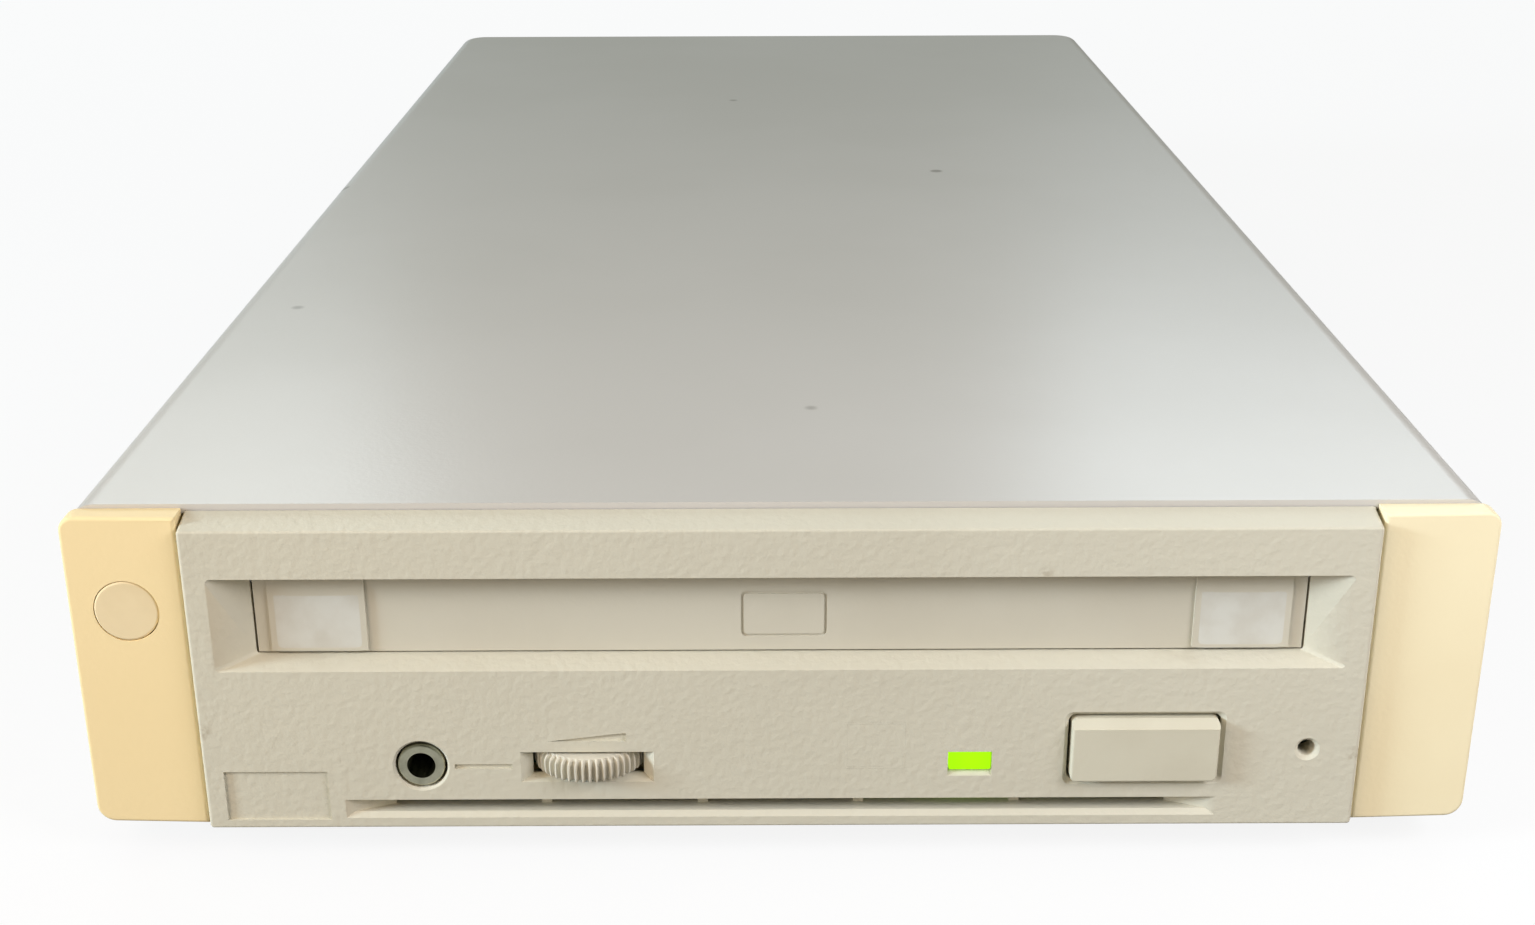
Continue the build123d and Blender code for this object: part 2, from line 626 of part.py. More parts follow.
def make_rear_panel():
    half = INNER_HALF - 2 * SEAT_GAP
    face = (PANEL_FACE - PANEL_SHEET, PANEL_FACE)
    plate = block((-half, half), face, (PAN_TOP, INNER_TOP - SEAT_GAP))
    plate = fillet(edges_where(plate, lambda x, d, z: z > INNER_TOP - 0.5 and abs(x) > half - 0.1),
                   COVER_EDGE_RADIUS - COVER_SHEET)
    foot = block((-half, half), (PANEL_FACE - PANEL_FOOT, PANEL_FACE - PANEL_SHEET),
                 (PAN_TOP, PAN_TOP + PANEL_SHEET))
    cut = (face[0] - 1, face[1] + 1)
    openings = [panel_block(INLET_X, INLET_Z, INLET_BODY, cut, FIT),
                panel_block(SWITCH_X, SWITCH_Z, SWITCH_BODY, cut, FIT),
                panel_block(SELECTOR_X, SELECTOR_Z, SELECTOR_BODY, cut, FIT)]
    openings += [panel_block(SOCKET_X, z, SOCKET_BODY, cut, FIT) for z in SOCKET_ZS]
    openings += [rod(x, cut[0], AUDIO_Z, Y_WAY, 4, AUDIO_NECK_RADIUS + FIT) for x in AUDIO_XS]
    for step in range(PANEL_VENT_COUNT):
        x = PANEL_VENT_START + PANEL_VENT_PITCH * step
        openings.append(rounded_block((x, x + PANEL_VENT_PITCH / 2), cut, PANEL_VENT_Z, 0.8))
    panel = plate + foot
    for opening in openings:
        panel -= opening
    return panel


def make_power_inlet():
    """Shrouded inlet body and its three blades."""
    floor = PANEL_FACE - INLET_CAVITY_DEPTH
    body = panel_block(INLET_X, INLET_Z, INLET_BODY, (floor - 5.0, PANEL_FACE))
    flange_depth = (PANEL_FACE, PANEL_FACE + INLET_FLANGE_PROUD)
    flange = panel_block(INLET_X, INLET_Z, INLET_FLANGE, flange_depth, 0.0, 3.0)
    side, top = INLET_CAVITY[0] / 2, INLET_Z + INLET_CAVITY[1] / 2
    cavity = panel_block(INLET_X, INLET_Z, INLET_CAVITY, (floor, flange_depth[1] + 1))
    upper = edges_where(cavity, lambda x, d, z: abs(abs(x - INLET_X) - side) < 0.01 and z > top - 0.01)
    shell = body + flange - chamfer(upper, 3.5)
    blades = []
    for x, z in BLADE_PLACES:
        place = (INLET_X + x, INLET_Z + z)
        shell -= panel_block(*place, BLADE_SIZE, (floor - 7.0, floor + 1.0))
        blades.append(panel_block(*place, BLADE_SIZE, (PANEL_FACE - BLADE_TAIL, PANEL_FACE + 1.0)))
    return [shell] + blades


def make_power_switch():
    body = panel_block(SWITCH_X, SWITCH_Z, SWITCH_BODY, (PANEL_FACE - 14.0, PANEL_FACE))
    flange = panel_block(SWITCH_X, SWITCH_Z, SWITCH_FLANGE, (PANEL_FACE, PANEL_FACE + 2.0), 0.0, 1.0)
    mouth_size = (ROCKER_WIDTH + 2 * ROCKER_ROOM, ROCKER_HEIGHT + 2 * ROCKER_SIDE_GAP)
    mouth = panel_block(SWITCH_X, SWITCH_Z, mouth_size, (PANEL_FACE - 6.0, PANEL_FACE + 3.0))
    pivot = rod(SWITCH_X, ROCKER_AXIS, SWITCH_Z - mouth_size[1] / 2 - 0.5, Z_WAY, mouth_size[1] + 1.0,
                ROCKER_PIVOT_RADIUS)
    tail = [panel_block(SWITCH_X + x, SWITCH_Z, (4.8, 0.8), (PANEL_FACE - SWITCH_TAIL, PANEL_FACE - 14.0))
            for x in (-6.0, 0.0, 6.0)]
    return body + flange - mouth + pivot + tail


def make_power_rocker():
    """Rocker with two flat wings, resting with its right end pressed in."""
    half = ROCKER_WIDTH / 2
    wings = [(-half, 2.6), (-half + 0.2, 4.9), (0, 4.1), (half - 0.2, 4.9), (half, 2.6),
             (2.4, -1.8), (-2.4, -1.8)]
    low = SWITCH_Z - ROCKER_HEIGHT / 2
    points = [(SWITCH_X + x, deep(ROCKER_AXIS + y), low) for x, y in wings]
    body = extrude(make_face(Polyline(*points, close=True)), ROCKER_HEIGHT, dir=Z_WAY)
    bore = rod(SWITCH_X, ROCKER_AXIS, low - 1, Z_WAY, ROCKER_HEIGHT + 2,
               ROCKER_PIVOT_RADIUS + PIN_RUNNING)
    axis = Axis((SWITCH_X, deep(ROCKER_AXIS), SWITCH_Z), Z_WAY)
    return (body - bore).rotate(axis, ROCKER_TILT)


def socket_ear(side, z):
    """Ear at one end of a data socket, with a hole along Z for the bail's ends."""
    x = SOCKET_X + side * BAIL_PIVOT
    ear = block((x - 2.4, x + 2.4), (PANEL_FACE + SOCKET_PLATE, PANEL_FACE + BAIL_DEPTH + 1.6),
                (z - 4.6, z + 4.6))
    return ear - rod(x, PANEL_FACE + BAIL_DEPTH, z - 6, Z_WAY, 12, BAIL_WIRE + 0.07)


def make_data_sockets():
    """Two wide sockets, each a metal flange with a shell and ears, and a plastic core."""
    solids = []
    shell_depth = (PANEL_FACE + SOCKET_PLATE, PANEL_FACE + SOCKET_PROUD)
    for z in SOCKET_ZS:
        metal = panel_block(SOCKET_X, z, SOCKET_FLANGE, (PANEL_FACE, PANEL_FACE + SOCKET_PLATE))
        metal += panel_block(SOCKET_X, z, SOCKET_BODY, shell_depth, 0.0, 2.4)
        metal -= panel_block(SOCKET_X, z, SOCKET_BODY, (PANEL_FACE - 1, shell_depth[1] + 1),
                             -SOCKET_SHELL, 1.6)
        for side in (-1, 1):
            metal += socket_ear(side, z)
        core = panel_block(SOCKET_X, z, SOCKET_BODY, (PANEL_FACE - SOCKET_CORE_BACK, shell_depth[1] - 0.4),
                           -SOCKET_SHELL - FIT, 1.4)
        core -= panel_block(SOCKET_X, z, SOCKET_SLOT, (PANEL_FACE - SOCKET_SLOT_DEPTH, shell_depth[1] + 1),
                            0.0, 1.2)
        solids += [metal, core]
    return solids


def make_bail(side, z):
    """Wire loop that swings on the ears, folded flat towards the shell at rest."""
    x = SOCKET_X + side * BAIL_PIVOT
    y = deep(PANEL_FACE + BAIL_DEPTH)
    reach = x - side * BAIL_LENGTH
    points = [(x, y, z - BAIL_END), (x, y, z - BAIL_HALF), (reach, y, z - BAIL_HALF),
              (reach, y, z + BAIL_HALF), (x, y, z + BAIL_HALF), (x, y, z + BAIL_END)]
    path = FilletPolyline(*points, radius=1.3)
    return sweep(Plane(origin=points[0], z_dir=(0, 0, -1)) * Circle(BAIL_WIRE), path=path)


def make_selector_body():
    """Number selector housing, with a window over the drum and a hole for each button."""
    body = panel_block(SELECTOR_X, SELECTOR_Z, SELECTOR_BODY, (PANEL_FACE - 14.0, PANEL_FACE))
    body += panel_block(SELECTOR_X, SELECTOR_Z, SELECTOR_FLANGE, (PANEL_FACE, SELECTOR_FACE), 0.0, 0.8)
    body -= panel_block(SELECTOR_X, SELECTOR_Z, (DRUM_WIDTH + 0.8, 2 * DRUM_RADIUS + 1.0),
                        (PANEL_FACE - 12.0, PANEL_FACE))
    body -= panel_block(SELECTOR_X, SELECTOR_Z, (DRUM_WIDTH + 0.4, 6.0),
                        (PANEL_FACE - 1, SELECTOR_FACE + 1))
    body += rod(SELECTOR_X - 3.4, DRUM_DEPTH, SELECTOR_Z, X_WAY, 6.8, DRUM_AXLE_RADIUS)
    well = SELECTOR_FACE + SELECTOR_BUTTON_PROUD - SELECTOR_BUTTON_LENGTH - SELECTOR_TRAVEL - 0.4
    for way in (-1, 1):
        body -= panel_block(SELECTOR_X, SELECTOR_Z + way * SELECTOR_BUTTON_Z, SELECTOR_BUTTON_SIZE,
                            (well, SELECTOR_FACE + 1), SELECTOR_BUTTON_GAP)
    return body


def make_selector_drum():
    drum = rod(SELECTOR_X - DRUM_WIDTH / 2, DRUM_DEPTH, SELECTOR_Z, X_WAY, DRUM_WIDTH, DRUM_RADIUS)
    return drum - rod(SELECTOR_X - DRUM_WIDTH, DRUM_DEPTH, SELECTOR_Z, X_WAY, 2 * DRUM_WIDTH,
                      DRUM_AXLE_RADIUS + 0.06)


def make_selector_button(way):
    front = SELECTOR_FACE + SELECTOR_BUTTON_PROUD
    button = panel_block(SELECTOR_X, SELECTOR_Z + way * SELECTOR_BUTTON_Z, SELECTOR_BUTTON_SIZE,
                         (front - SELECTOR_BUTTON_LENGTH, front))
    return fillet(edges_where(button, lambda x, d, z: d > front - 0.1), 0.3)


def make_audio_jacks():
    """Two round sockets, each a plastic collar and a metal sleeve with a centre hole."""
    solids = []
    front = PANEL_FACE + AUDIO_COLLAR
    for x in AUDIO_XS:
        collar = rod(x, PANEL_FACE, AUDIO_Z, Y_WAY, AUDIO_COLLAR, AUDIO_COLLAR_RADIUS)
        collar += rod(x, PANEL_FACE - 10.0, AUDIO_Z, Y_WAY, 10.0, AUDIO_NECK_RADIUS)
        sleeve = rod(x, front, AUDIO_Z, Y_WAY, AUDIO_SLEEVE_LENGTH, AUDIO_SLEEVE_RADIUS)
        hole = rod(x, PANEL_FACE - 4.0, AUDIO_Z, Y_WAY, AUDIO_SLEEVE_LENGTH + 10, AUDIO_PIN_RADIUS)
        solids += [collar - hole, sleeve - hole]
    return solids


# Drive front

def make_drive_bezel():
    points = [(0, BEZEL_BOTTOM), (0, BEZEL_TOP - BEZEL_CHAMFER_HEIGHT), (BEZEL_CHAMFER_DEPTH, BEZEL_TOP),
              (COVER_FRONT - 0.2, BEZEL_TOP), (COVER_FRONT - 0.2, RIM_TOP), (BEZEL_DEPTH, RIM_TOP),
              (BEZEL_DEPTH, BEZEL_BOTTOM)]
    body = side_profile(points, (-BEZEL_HALF, BEZEL_HALF))
    body = fillet(edges_where(body, lambda x, d, z: d < 0.01 and abs(x) < 1), 0.35)
    ends = edges_where(body, lambda x, d, z: abs(abs(x) - BEZEL_HALF) < 0.4 and z > BEZEL_BOTTOM + 1
                       and d < BEZEL_CHAMFER_DEPTH)
    body = fillet(ends, 0.5)
    opening_x = (-OPENING_HALF, OPENING_HALF)
    body -= tapered((-RECESS_WIDTH / 2, RECESS_WIDTH / 2), (RECESS_LOW, RECESS_HIGH),
                    opening_x, (OPENING_LOW, RECESS_HIGH), (0, RECESS_DEPTH), RECESS_CORNER)
    body -= block(opening_x, (RECESS_DEPTH, BEZEL_DEPTH + 1), (OPENING_LOW, RECESS_HIGH))
    body -= block((-BEZEL_HALF + BEZEL_WALL, BEZEL_HALF - BEZEL_WALL), (BEZEL_SKIN, BEZEL_DEPTH + 1),
                  (BEZEL_BOTTOM + BEZEL_WALL, OPENING_LOW - BEZEL_WALL))
    body -= block((-BEZEL_HALF + BEZEL_WALL, BEZEL_HALF - BEZEL_WALL), (BEZEL_SKIN, BEZEL_DEPTH + 1),
                  (RECESS_HIGH + BEZEL_WALL, RIM_TOP - BEZEL_WALL))
    body -= rod(-OPENING_HALF - 1.6, DOOR_AXIS_DEPTH, DOOR_AXIS_Z, X_WAY, 2 * OPENING_HALF + 3.2,
                DOOR_PIN_RADIUS + PIN_RUNNING)
    body = cut_controls(body)
    return cut_vents(body)


def cut_controls(body):
    """Openings for the socket, wheel, lamp, button and release hole, and the shallow markings."""
    body -= rod(JACK_X, -1, CONTROL_Z, Y_WAY, BEZEL_DEPTH, JACK_RING_RADIUS + 0.3)
    body -= cone(JACK_X, 0, CONTROL_Z, Y_WAY, 0.4, JACK_RING_RADIUS + 0.6, JACK_RING_RADIUS + 0.2)
    slot_x = (WHEEL_X - WHEEL_SLOT_HALF, WHEEL_X + WHEEL_SLOT_HALF)
    slot_z = (WHEEL_LOW - 0.4, WHEEL_LOW + WHEEL_THICKNESS + 0.4)
    body -= block(slot_x, (-1, BEZEL_DEPTH), slot_z)
    mouth_x = (slot_x[0] - WHEEL_FLARE, slot_x[1] + WHEEL_FLARE)
    body -= tapered(mouth_x, (slot_z[0] - 0.5, slot_z[1]), slot_x, slot_z, (0, WHEEL_FLARE_DEPTH))
    pocket_half = WHEEL_RADIUS + 0.8
    body -= block((WHEEL_X - pocket_half, WHEEL_X + pocket_half), (WHEEL_POCKET_DEPTH, BEZEL_DEPTH),
                  (slot_z[0] - 0.6, slot_z[1] + 0.6))
    body -= block((JACK_X + MARK_LINE[0], JACK_X + MARK_LINE[1]), (-1, MARK_DEPTH),
                  (CONTROL_Z - 0.5, CONTROL_Z + 0.2))
    left, right = WHEEL_X - WEDGE_LENGTH / 2, WHEEL_X + WEDGE_LENGTH / 2
    low = CONTROL_Z + WEDGE_LIFT
    wedge = [(left, low), (right, low), (right, low + WEDGE_HEIGHT)]
    face = make_face(Polyline(*[(x, deep(-1), z) for x, z in wedge], close=True))
    body -= extrude(face, 1 + MARK_DEPTH, dir=Y_WAY)
    lamp_x, lamp_z = around(LAMP_X, LAMP_Z, (LAMP_WIDTH, LAMP_HEIGHT), 0.12)
    body -= rounded_block(lamp_x, (-1, BEZEL_DEPTH), lamp_z, 0.3)
    body -= tapered(lamp_x, (lamp_z[0] - 0.8, lamp_z[1]), lamp_x, lamp_z, (0, 0.6))
    button_x, button_z = around(BUTTON_X, BUTTON_Z, (BUTTON_WIDTH, BUTTON_HEIGHT), BUTTON_GAP)
    body -= rounded_block(button_x, (-1, BEZEL_DEPTH), button_z, 1.0)
    rim_x, rim_z = around(BUTTON_X, BUTTON_Z, (BUTTON_WIDTH, BUTTON_HEIGHT), BUTTON_GAP + 0.5)
    body -= tapered(rim_x, rim_z, button_x, button_z, (0, 0.5), 1.0)
    body -= rod(RELEASE_X, -1, RELEASE_Z, Y_WAY, BEZEL_DEPTH, RELEASE_RADIUS)
    body -= cone(RELEASE_X, 0, RELEASE_Z, Y_WAY, 0.5, RELEASE_RADIUS + 0.5, RELEASE_RADIUS)
    left, low = -BEZEL_HALF + BARE_PLACE_INSET, BEZEL_BOTTOM + BARE_PLACE_LIFT
    bare_x, bare_z = (left, left + BARE_PLACE[0]), (low, low + BARE_PLACE[1])
    return body - block(bare_x, (-1, MARK_DEPTH), bare_z)


def cut_vents(body):
    """Sloped strip along the bottom, with slots between ribs at its back."""
    floor = VENT_LOW + 0.65
    back = VENT_HALF - VENT_END_SLOPE
    body -= tapered((-VENT_HALF, VENT_HALF), (VENT_LOW, VENT_HIGH), (-VENT_HALF + 1, VENT_HALF - 1),
                    (floor, VENT_HIGH), (0, 0.6))
    body -= tapered((-VENT_HALF + 1, VENT_HALF - 1), (floor, VENT_HIGH), (-back, back), (floor, VENT_HIGH),
                    (0.6, VENT_DEPTH))
    length = (2 * back - (VENT_COUNT - 1) * VENT_RIB) / VENT_COUNT
    for step in range(VENT_COUNT):
        x = -back + step * (length + VENT_RIB)
        body -= block((x, x + length), (VENT_DEPTH - 0.1, BEZEL_SKIN + 0.5), (floor, VENT_HIGH))
    return body


def make_caddy_door():
    half = OPENING_HALF - DOOR_SIDE_GAP
    low = OPENING_LOW + DOOR_LOWER_GAP
    plate = block((-half, half), (RECESS_DEPTH, RECESS_DEPTH + DOOR_SHEET), (low, DOOR_AXIS_Z))
    door = plate + rod(-half, DOOR_AXIS_DEPTH, DOOR_AXIS_Z, X_WAY, 2 * half, DOOR_BARREL_RADIUS)
    pad_high = DOOR_AXIS_Z + 0.4
    pad = block((half - PAD_INSET - PAD_WIDTH, half - PAD_INSET),
                (RECESS_DEPTH - PAD_PROUD, RECESS_DEPTH + 0.5), (low + 0.3, pad_high))
    front = RECESS_DEPTH - PAD_PROUD
    slope = [(front - 1, pad_high - PAD_SLOPE_HEIGHT), (front, pad_high - PAD_SLOPE_HEIGHT),
             (RECESS_DEPTH - 0.1, pad_high + 0.1), (front - 1, pad_high + 0.1)]
    door += both_sides(pad - side_profile(slope, (0, half)))
    door -= rod(-half - 1, DOOR_AXIS_DEPTH, DOOR_AXIS_Z, X_WAY, 2 * half + 2, DOOR_PIN_RADIUS + PIN_RUNNING)
    middle = (low + RECESS_HIGH) / 2 - 0.7
    ring = panel_block(OUTLINE_X, middle, OUTLINE_SIZE, (RECESS_DEPTH - 1, RECESS_DEPTH + 0.2), 0.0, 0.8)
    ring -= panel_block(OUTLINE_X, middle, OUTLINE_SIZE, (RECESS_DEPTH - 2, RECESS_DEPTH + 1),
                        -OUTLINE_WIDTH, 0.5)
    return door - ring


def make_door_pin():
    start = -OPENING_HALF - 1.3
    return rod(start, DOOR_AXIS_DEPTH, DOOR_AXIS_Z, X_WAY, -2 * start, DOOR_PIN_RADIUS)


def make_eject_button():
    """Cap with a sloped top edge, skirt walls and a stem that presses the switch."""
    cap_x, cap_z = around(BUTTON_X, BUTTON_Z, (BUTTON_WIDTH, BUTTON_HEIGHT))
    cap = rounded_block(cap_x, (-BUTTON_PROUD, BUTTON_CAP_BACK), cap_z, 0.8)
    cap = fillet(edges_where(cap, lambda x, d, z: d < -BUTTON_PROUD + 0.01), 0.3)
    low, high = cap_z[1] - 1.1, cap_z[1] + 0.1
    slope = [(-BUTTON_PROUD - 1, low), (-BUTTON_PROUD + 0.1, low), (0.0, high), (-BUTTON_PROUD - 1, high)]
    cap -= side_profile(slope, (cap_x[0] - 1, cap_x[1] + 1))
    stem = rod(BUTTON_X, 0.8, BUTTON_Z, Y_WAY, SWITCH_PLUNGER_DEPTH - 0.8, BUTTON_STEM_RADIUS)
    skirt_x, skirt_z = around(BUTTON_X, BUTTON_Z, (BUTTON_WIDTH, BUTTON_HEIGHT), -1.2)
    hollow = block(skirt_x, (BUTTON_CAP_BACK - 1.6, BUTTON_CAP_BACK + 1), skirt_z)
    return cap - hollow + stem


def make_eject_switch():
    """Housing on the front board, with a well that the button's stem enters."""
    front = SWITCH_PLUNGER_DEPTH - 0.6
    body = block((BUTTON_X - 4.0, BUTTON_X + 4.0), (front, front + 6.0), (BUTTON_Z - 4.0, BUTTON_Z + 3.6))
    stand = block((BUTTON_X - 3.0, BUTTON_X + 3.0), (front + 1.5, front + 5.5), (BOARD_TOP, BUTTON_Z - 4.0))
    well = rod(BUTTON_X, front - 1, BUTTON_Z, Y_WAY, BUTTON_TRAVEL + 3.0, BUTTON_STEM_RADIUS + 0.15)
    return body + stand - well


def make_volume_wheel():
    """Ribbed rim on a hub that turns on the control's post."""
    outline = []
    root = WHEEL_RADIUS - 0.45
    for rib in range(WHEEL_RIBS):
        middle = 2 * pi * rib / WHEEL_RIBS
        for share, radius in ((-0.30, root), (-0.16, WHEEL_RADIUS), (0.16, WHEEL_RADIUS), (0.30, root)):
            angle = middle + share * 2 * pi / WHEEL_RIBS
            outline.append((radius * cos(angle), radius * sin(angle)))
    face = make_face(Polyline(*outline, close=True))
    wheel = Pos(WHEEL_X, deep(WHEEL_DEPTH), WHEEL_LOW) * extrude(face, WHEEL_THICKNESS, dir=Z_WAY)
    bore = rod(WHEEL_X, WHEEL_DEPTH, WHEEL_LOW - 1, Z_WAY, WHEEL_THICKNESS + 2, POST_BORE)
    stop = rod(WHEEL_X + WHEEL_RADIUS / 2, WHEEL_DEPTH, WHEEL_LOW - 0.25, Z_WAY, 0.3, 0.6)
    return wheel + stop - bore


def make_volume_control():
    """Flat rotary control whose post carries the wheel."""
    body = block((WHEEL_X - 5.5, WHEEL_X + 5.5), (4.2, 18.0), (BOARD_TOP, WHEEL_LOW - 0.3))
    post = rod(WHEEL_X, WHEEL_DEPTH, WHEEL_LOW - 0.3, Z_WAY, WHEEL_THICKNESS + 0.6, WHEEL_POST)
    cap = rod(WHEEL_X, WHEEL_DEPTH, WHEEL_LOW + WHEEL_THICKNESS + 0.3, Z_WAY, 0.6, WHEEL_POST + 0.6)
    return body + post + cap


def make_headphone_jack():
    body = block((JACK_X - 4.5, JACK_X + 4.5), (6.6, 20.0), (BOARD_TOP, CONTROL_Z + 3.6))
    return body - rod(JACK_X, 6, CONTROL_Z, Y_WAY, 12.0, JACK_BORE_RADIUS + 0.4)


def make_jack_bush():
    ring = rod(JACK_X, 0.1, CONTROL_Z, Y_WAY, 6.5, JACK_RING_RADIUS)
    ring = fillet(edges_where(ring, lambda x, d, z: d < 0.2), 0.4)
    return ring - rod(JACK_X, -1, CONTROL_Z, Y_WAY, 9, JACK_BORE_RADIUS)


def make_led_lens():
    x, z = around(LAMP_X, LAMP_Z, (LAMP_WIDTH, LAMP_HEIGHT))
    lens = rounded_block(x, (0.05, 7.4), z, 0.25)
    collar_x, collar_z = around(LAMP_X, LAMP_Z, (LAMP_WIDTH, LAMP_HEIGHT), 0.8)
    return lens + block(collar_x, (BEZEL_SKIN + 0.1, BEZEL_SKIN + 1.1), collar_z)


def make_front_circuit_board():
    side = WALL_INSIDE - BOARD_SIDE_GAP
    return block((-side, side), (9.5, 34.0), (BOARD_LOW, BOARD_TOP))


def make_front_board_parts():
    """Lamp, flat-cable socket and small parts on the front board."""
    lamp = rod(LAMP_X, 8.0, LAMP_Z, Y_WAY, 4.0, 1.5) + rod(LAMP_X, 12.0, LAMP_Z, Y_WAY, 1.0, 1.9)
    holder = block((LAMP_X - 2.4, LAMP_X + 2.4), (13.0, 17.0), (BOARD_TOP, LAMP_Z + 2.2))
    socket = block((-8.0, 14.0), (27.0, 33.0), (BOARD_TOP, BOARD_TOP + 4.0))
    parts = [lamp, holder, socket]
    for step in range(6):
        x = -12.0 + 5.0 * step
        parts.append(block((x, x + 3.2), (20.0, 21.8), (BOARD_TOP, BOARD_TOP + 1.1)))
    return parts


# Drive body

def make_drive_chassis():
    """Side walls with flanges and ledges, a front beam, a back wall and the motor bracket."""
    wall = block((WALL_INSIDE, DRIVE_HALF), (BEZEL_DEPTH, DRIVE_DEPTH), (CHASSIS_LOW, CHASSIS_TOP))
    flange = block((WALL_INSIDE - 8.0, WALL_INSIDE), (BEZEL_DEPTH, DRIVE_DEPTH), (CHASSIS_LOW, BOARD_LOW))
    ledge = block((SLIDER_INSIDE - 0.4, WALL_INSIDE), (SLIDER_FRONT - 4.0, LOAD_GEAR_DEPTH - 22.0),
                  (LEDGE_TOP - 1.4, LEDGE_TOP))
    side = wall + flange + ledge
    for depth in GROMMET_DEPTHS:
        side += block((GROMMET_X - 4.5, WALL_INSIDE), (depth - 5.0, depth + 5.0), (LUG_TOP - 2.0, LUG_TOP))
        side += rod(GROMMET_X, depth, LUG_TOP, Z_WAY, 4.6, 1.4)
    pin_room = CAM_PIN_RADIUS + CAM_SLOT_CLEARANCE
    for depth in CAM_DEPTHS:
        side -= block((WALL_INSIDE - 1, DRIVE_HALF + 1),
                      (depth - pin_room, depth + pin_room),
                      (CAM_Z - CARRIER_DROP - CAM_PIN_RADIUS - 0.3, CAM_Z + CAM_PIN_RADIUS + 0.3))
    for depth in MOUNT_DEPTHS:
        side -= rod(MOUNT_X, depth, CHASSIS_LOW - 1, Z_WAY, CHASSIS_FLANGE + 1.2, SCREW_SHANK_RADIUS + 0.1)
    body = both_sides(side)
    beam_low = RECESS_HIGH + 1.4
    body += block((-WALL_INSIDE, WALL_INSIDE), (BEZEL_DEPTH, BEZEL_DEPTH + 2.4), (beam_low, CHASSIS_TOP))
    back = block((-WALL_INSIDE, WALL_INSIDE), (DRIVE_DEPTH - 2.0, DRIVE_DEPTH), (CHASSIS_LOW, CHASSIS_TOP))
    back -= block((-58.0, 58.0), (DRIVE_DEPTH - 3, DRIVE_DEPTH + 1), (BOARD_LOW, 22.0))
    body += back
    bracket = block(BRACKET_X, (LOAD_GEAR_DEPTH - 5.0, DRIVE_DEPTH - 2.0),
                    (BOARD_LOW + 2.0, SLIDER_LOW - 1.5))
    bracket += block(BRACKET_X, (DRIVE_DEPTH - 6.0, DRIVE_DEPTH - 2.0), (BOARD_LOW, SLIDER_LOW - 1.5))
    bracket -= rod(BRACKET_X[0] - 1, LOAD_PINION_DEPTH, LOAD_PINION_Z, X_WAY, 4, 2.6)
    body += bracket
    post = rod(BRACKET_X[1] - 0.5, LOAD_GEAR_DEPTH, LOAD_GEAR_Z, X_WAY, WALL_INSIDE - BRACKET_X[1] + 1.0,
               GEAR_POST_RADIUS)
    return body + post


def make_drive_top_plate():
    plate = block((-DRIVE_HALF, DRIVE_HALF), (BEZEL_DEPTH, DRIVE_DEPTH),
                  (CHASSIS_TOP, CHASSIS_TOP + TOP_PLATE_SHEET))
    ear = block((CLAMP_EAR_X, CLAMP_EAR_X + 1.6), (CLAMP_AXIS_DEPTH - 4.0, CLAMP_AXIS_DEPTH + 4.0),
                (CLAMP_AXIS_Z - 3.2, CHASSIS_TOP))
    ear -= rod(CLAMP_EAR_X - 1, CLAMP_AXIS_DEPTH, CLAMP_AXIS_Z, X_WAY, 4, CLAMP_PIN_RADIUS + 0.03)
    return plate + both_sides(ear)


def make_mechanism_deck():
    """Plate that floats on the grommets and holds the spindle motor, the rails and the sled motor."""
    plate = block((-DECK_HALF, DECK_HALF), DECK_RANGE, (DECK_LOW, DECK_TOP))
    plate -= block((-DECK_OPENING_HALF, DECK_OPENING_HALF),
                   (RAIL_FRONT + EAR_THICKNESS, RAIL_BACK - EAR_THICKNESS), (DECK_LOW - 1, DECK_TOP + 1))
    plate -= rod(0, SPINDLE_DEPTH, DECK_LOW - 1, Z_WAY, 4, MOTOR_BOSS_RADIUS + 0.2)
    for depth in GROMMET_DEPTHS:
        plate -= both_sides(rod(GROMMET_X, depth, DECK_LOW - 1, Z_WAY, 4, GROMMET_HOLE))
    plate -= rod(SLED_PINION_X, SLED_PINION_DEPTH, DECK_LOW - 1, Z_WAY, 4, 2.2)
    for start in (RAIL_FRONT, RAIL_BACK - EAR_THICKNESS):
        ear = block((RAIL_X - 3.0, RAIL_X + 3.0), (start, start + EAR_THICKNESS), (RAIL_Z - 2.8, DECK_LOW))
        ear -= rod(RAIL_X, start - 1, RAIL_Z, Y_WAY, EAR_THICKNESS + 2, RAIL_RADIUS + 0.03)
        plate += both_sides(ear)
    return plate


def make_deck_grommets():
    solids = []
    for side in (-1, 1):
        for depth in GROMMET_DEPTHS:
            ring = rod(side * GROMMET_X, depth, LUG_TOP, Z_WAY, DECK_LOW - LUG_TOP, GROMMET_RADIUS)
            ring += rod(side * GROMMET_X, depth, DECK_LOW, Z_WAY, DECK_SHEET, GROMMET_HOLE - 0.05)
            ring += rod(side * GROMMET_X, depth, DECK_TOP, Z_WAY, 0.8, GROMMET_RADIUS - 0.2)
            solids.append(ring - rod(side * GROMMET_X, depth, LUG_TOP - 1, Z_WAY, 8, 1.45))
    return solids


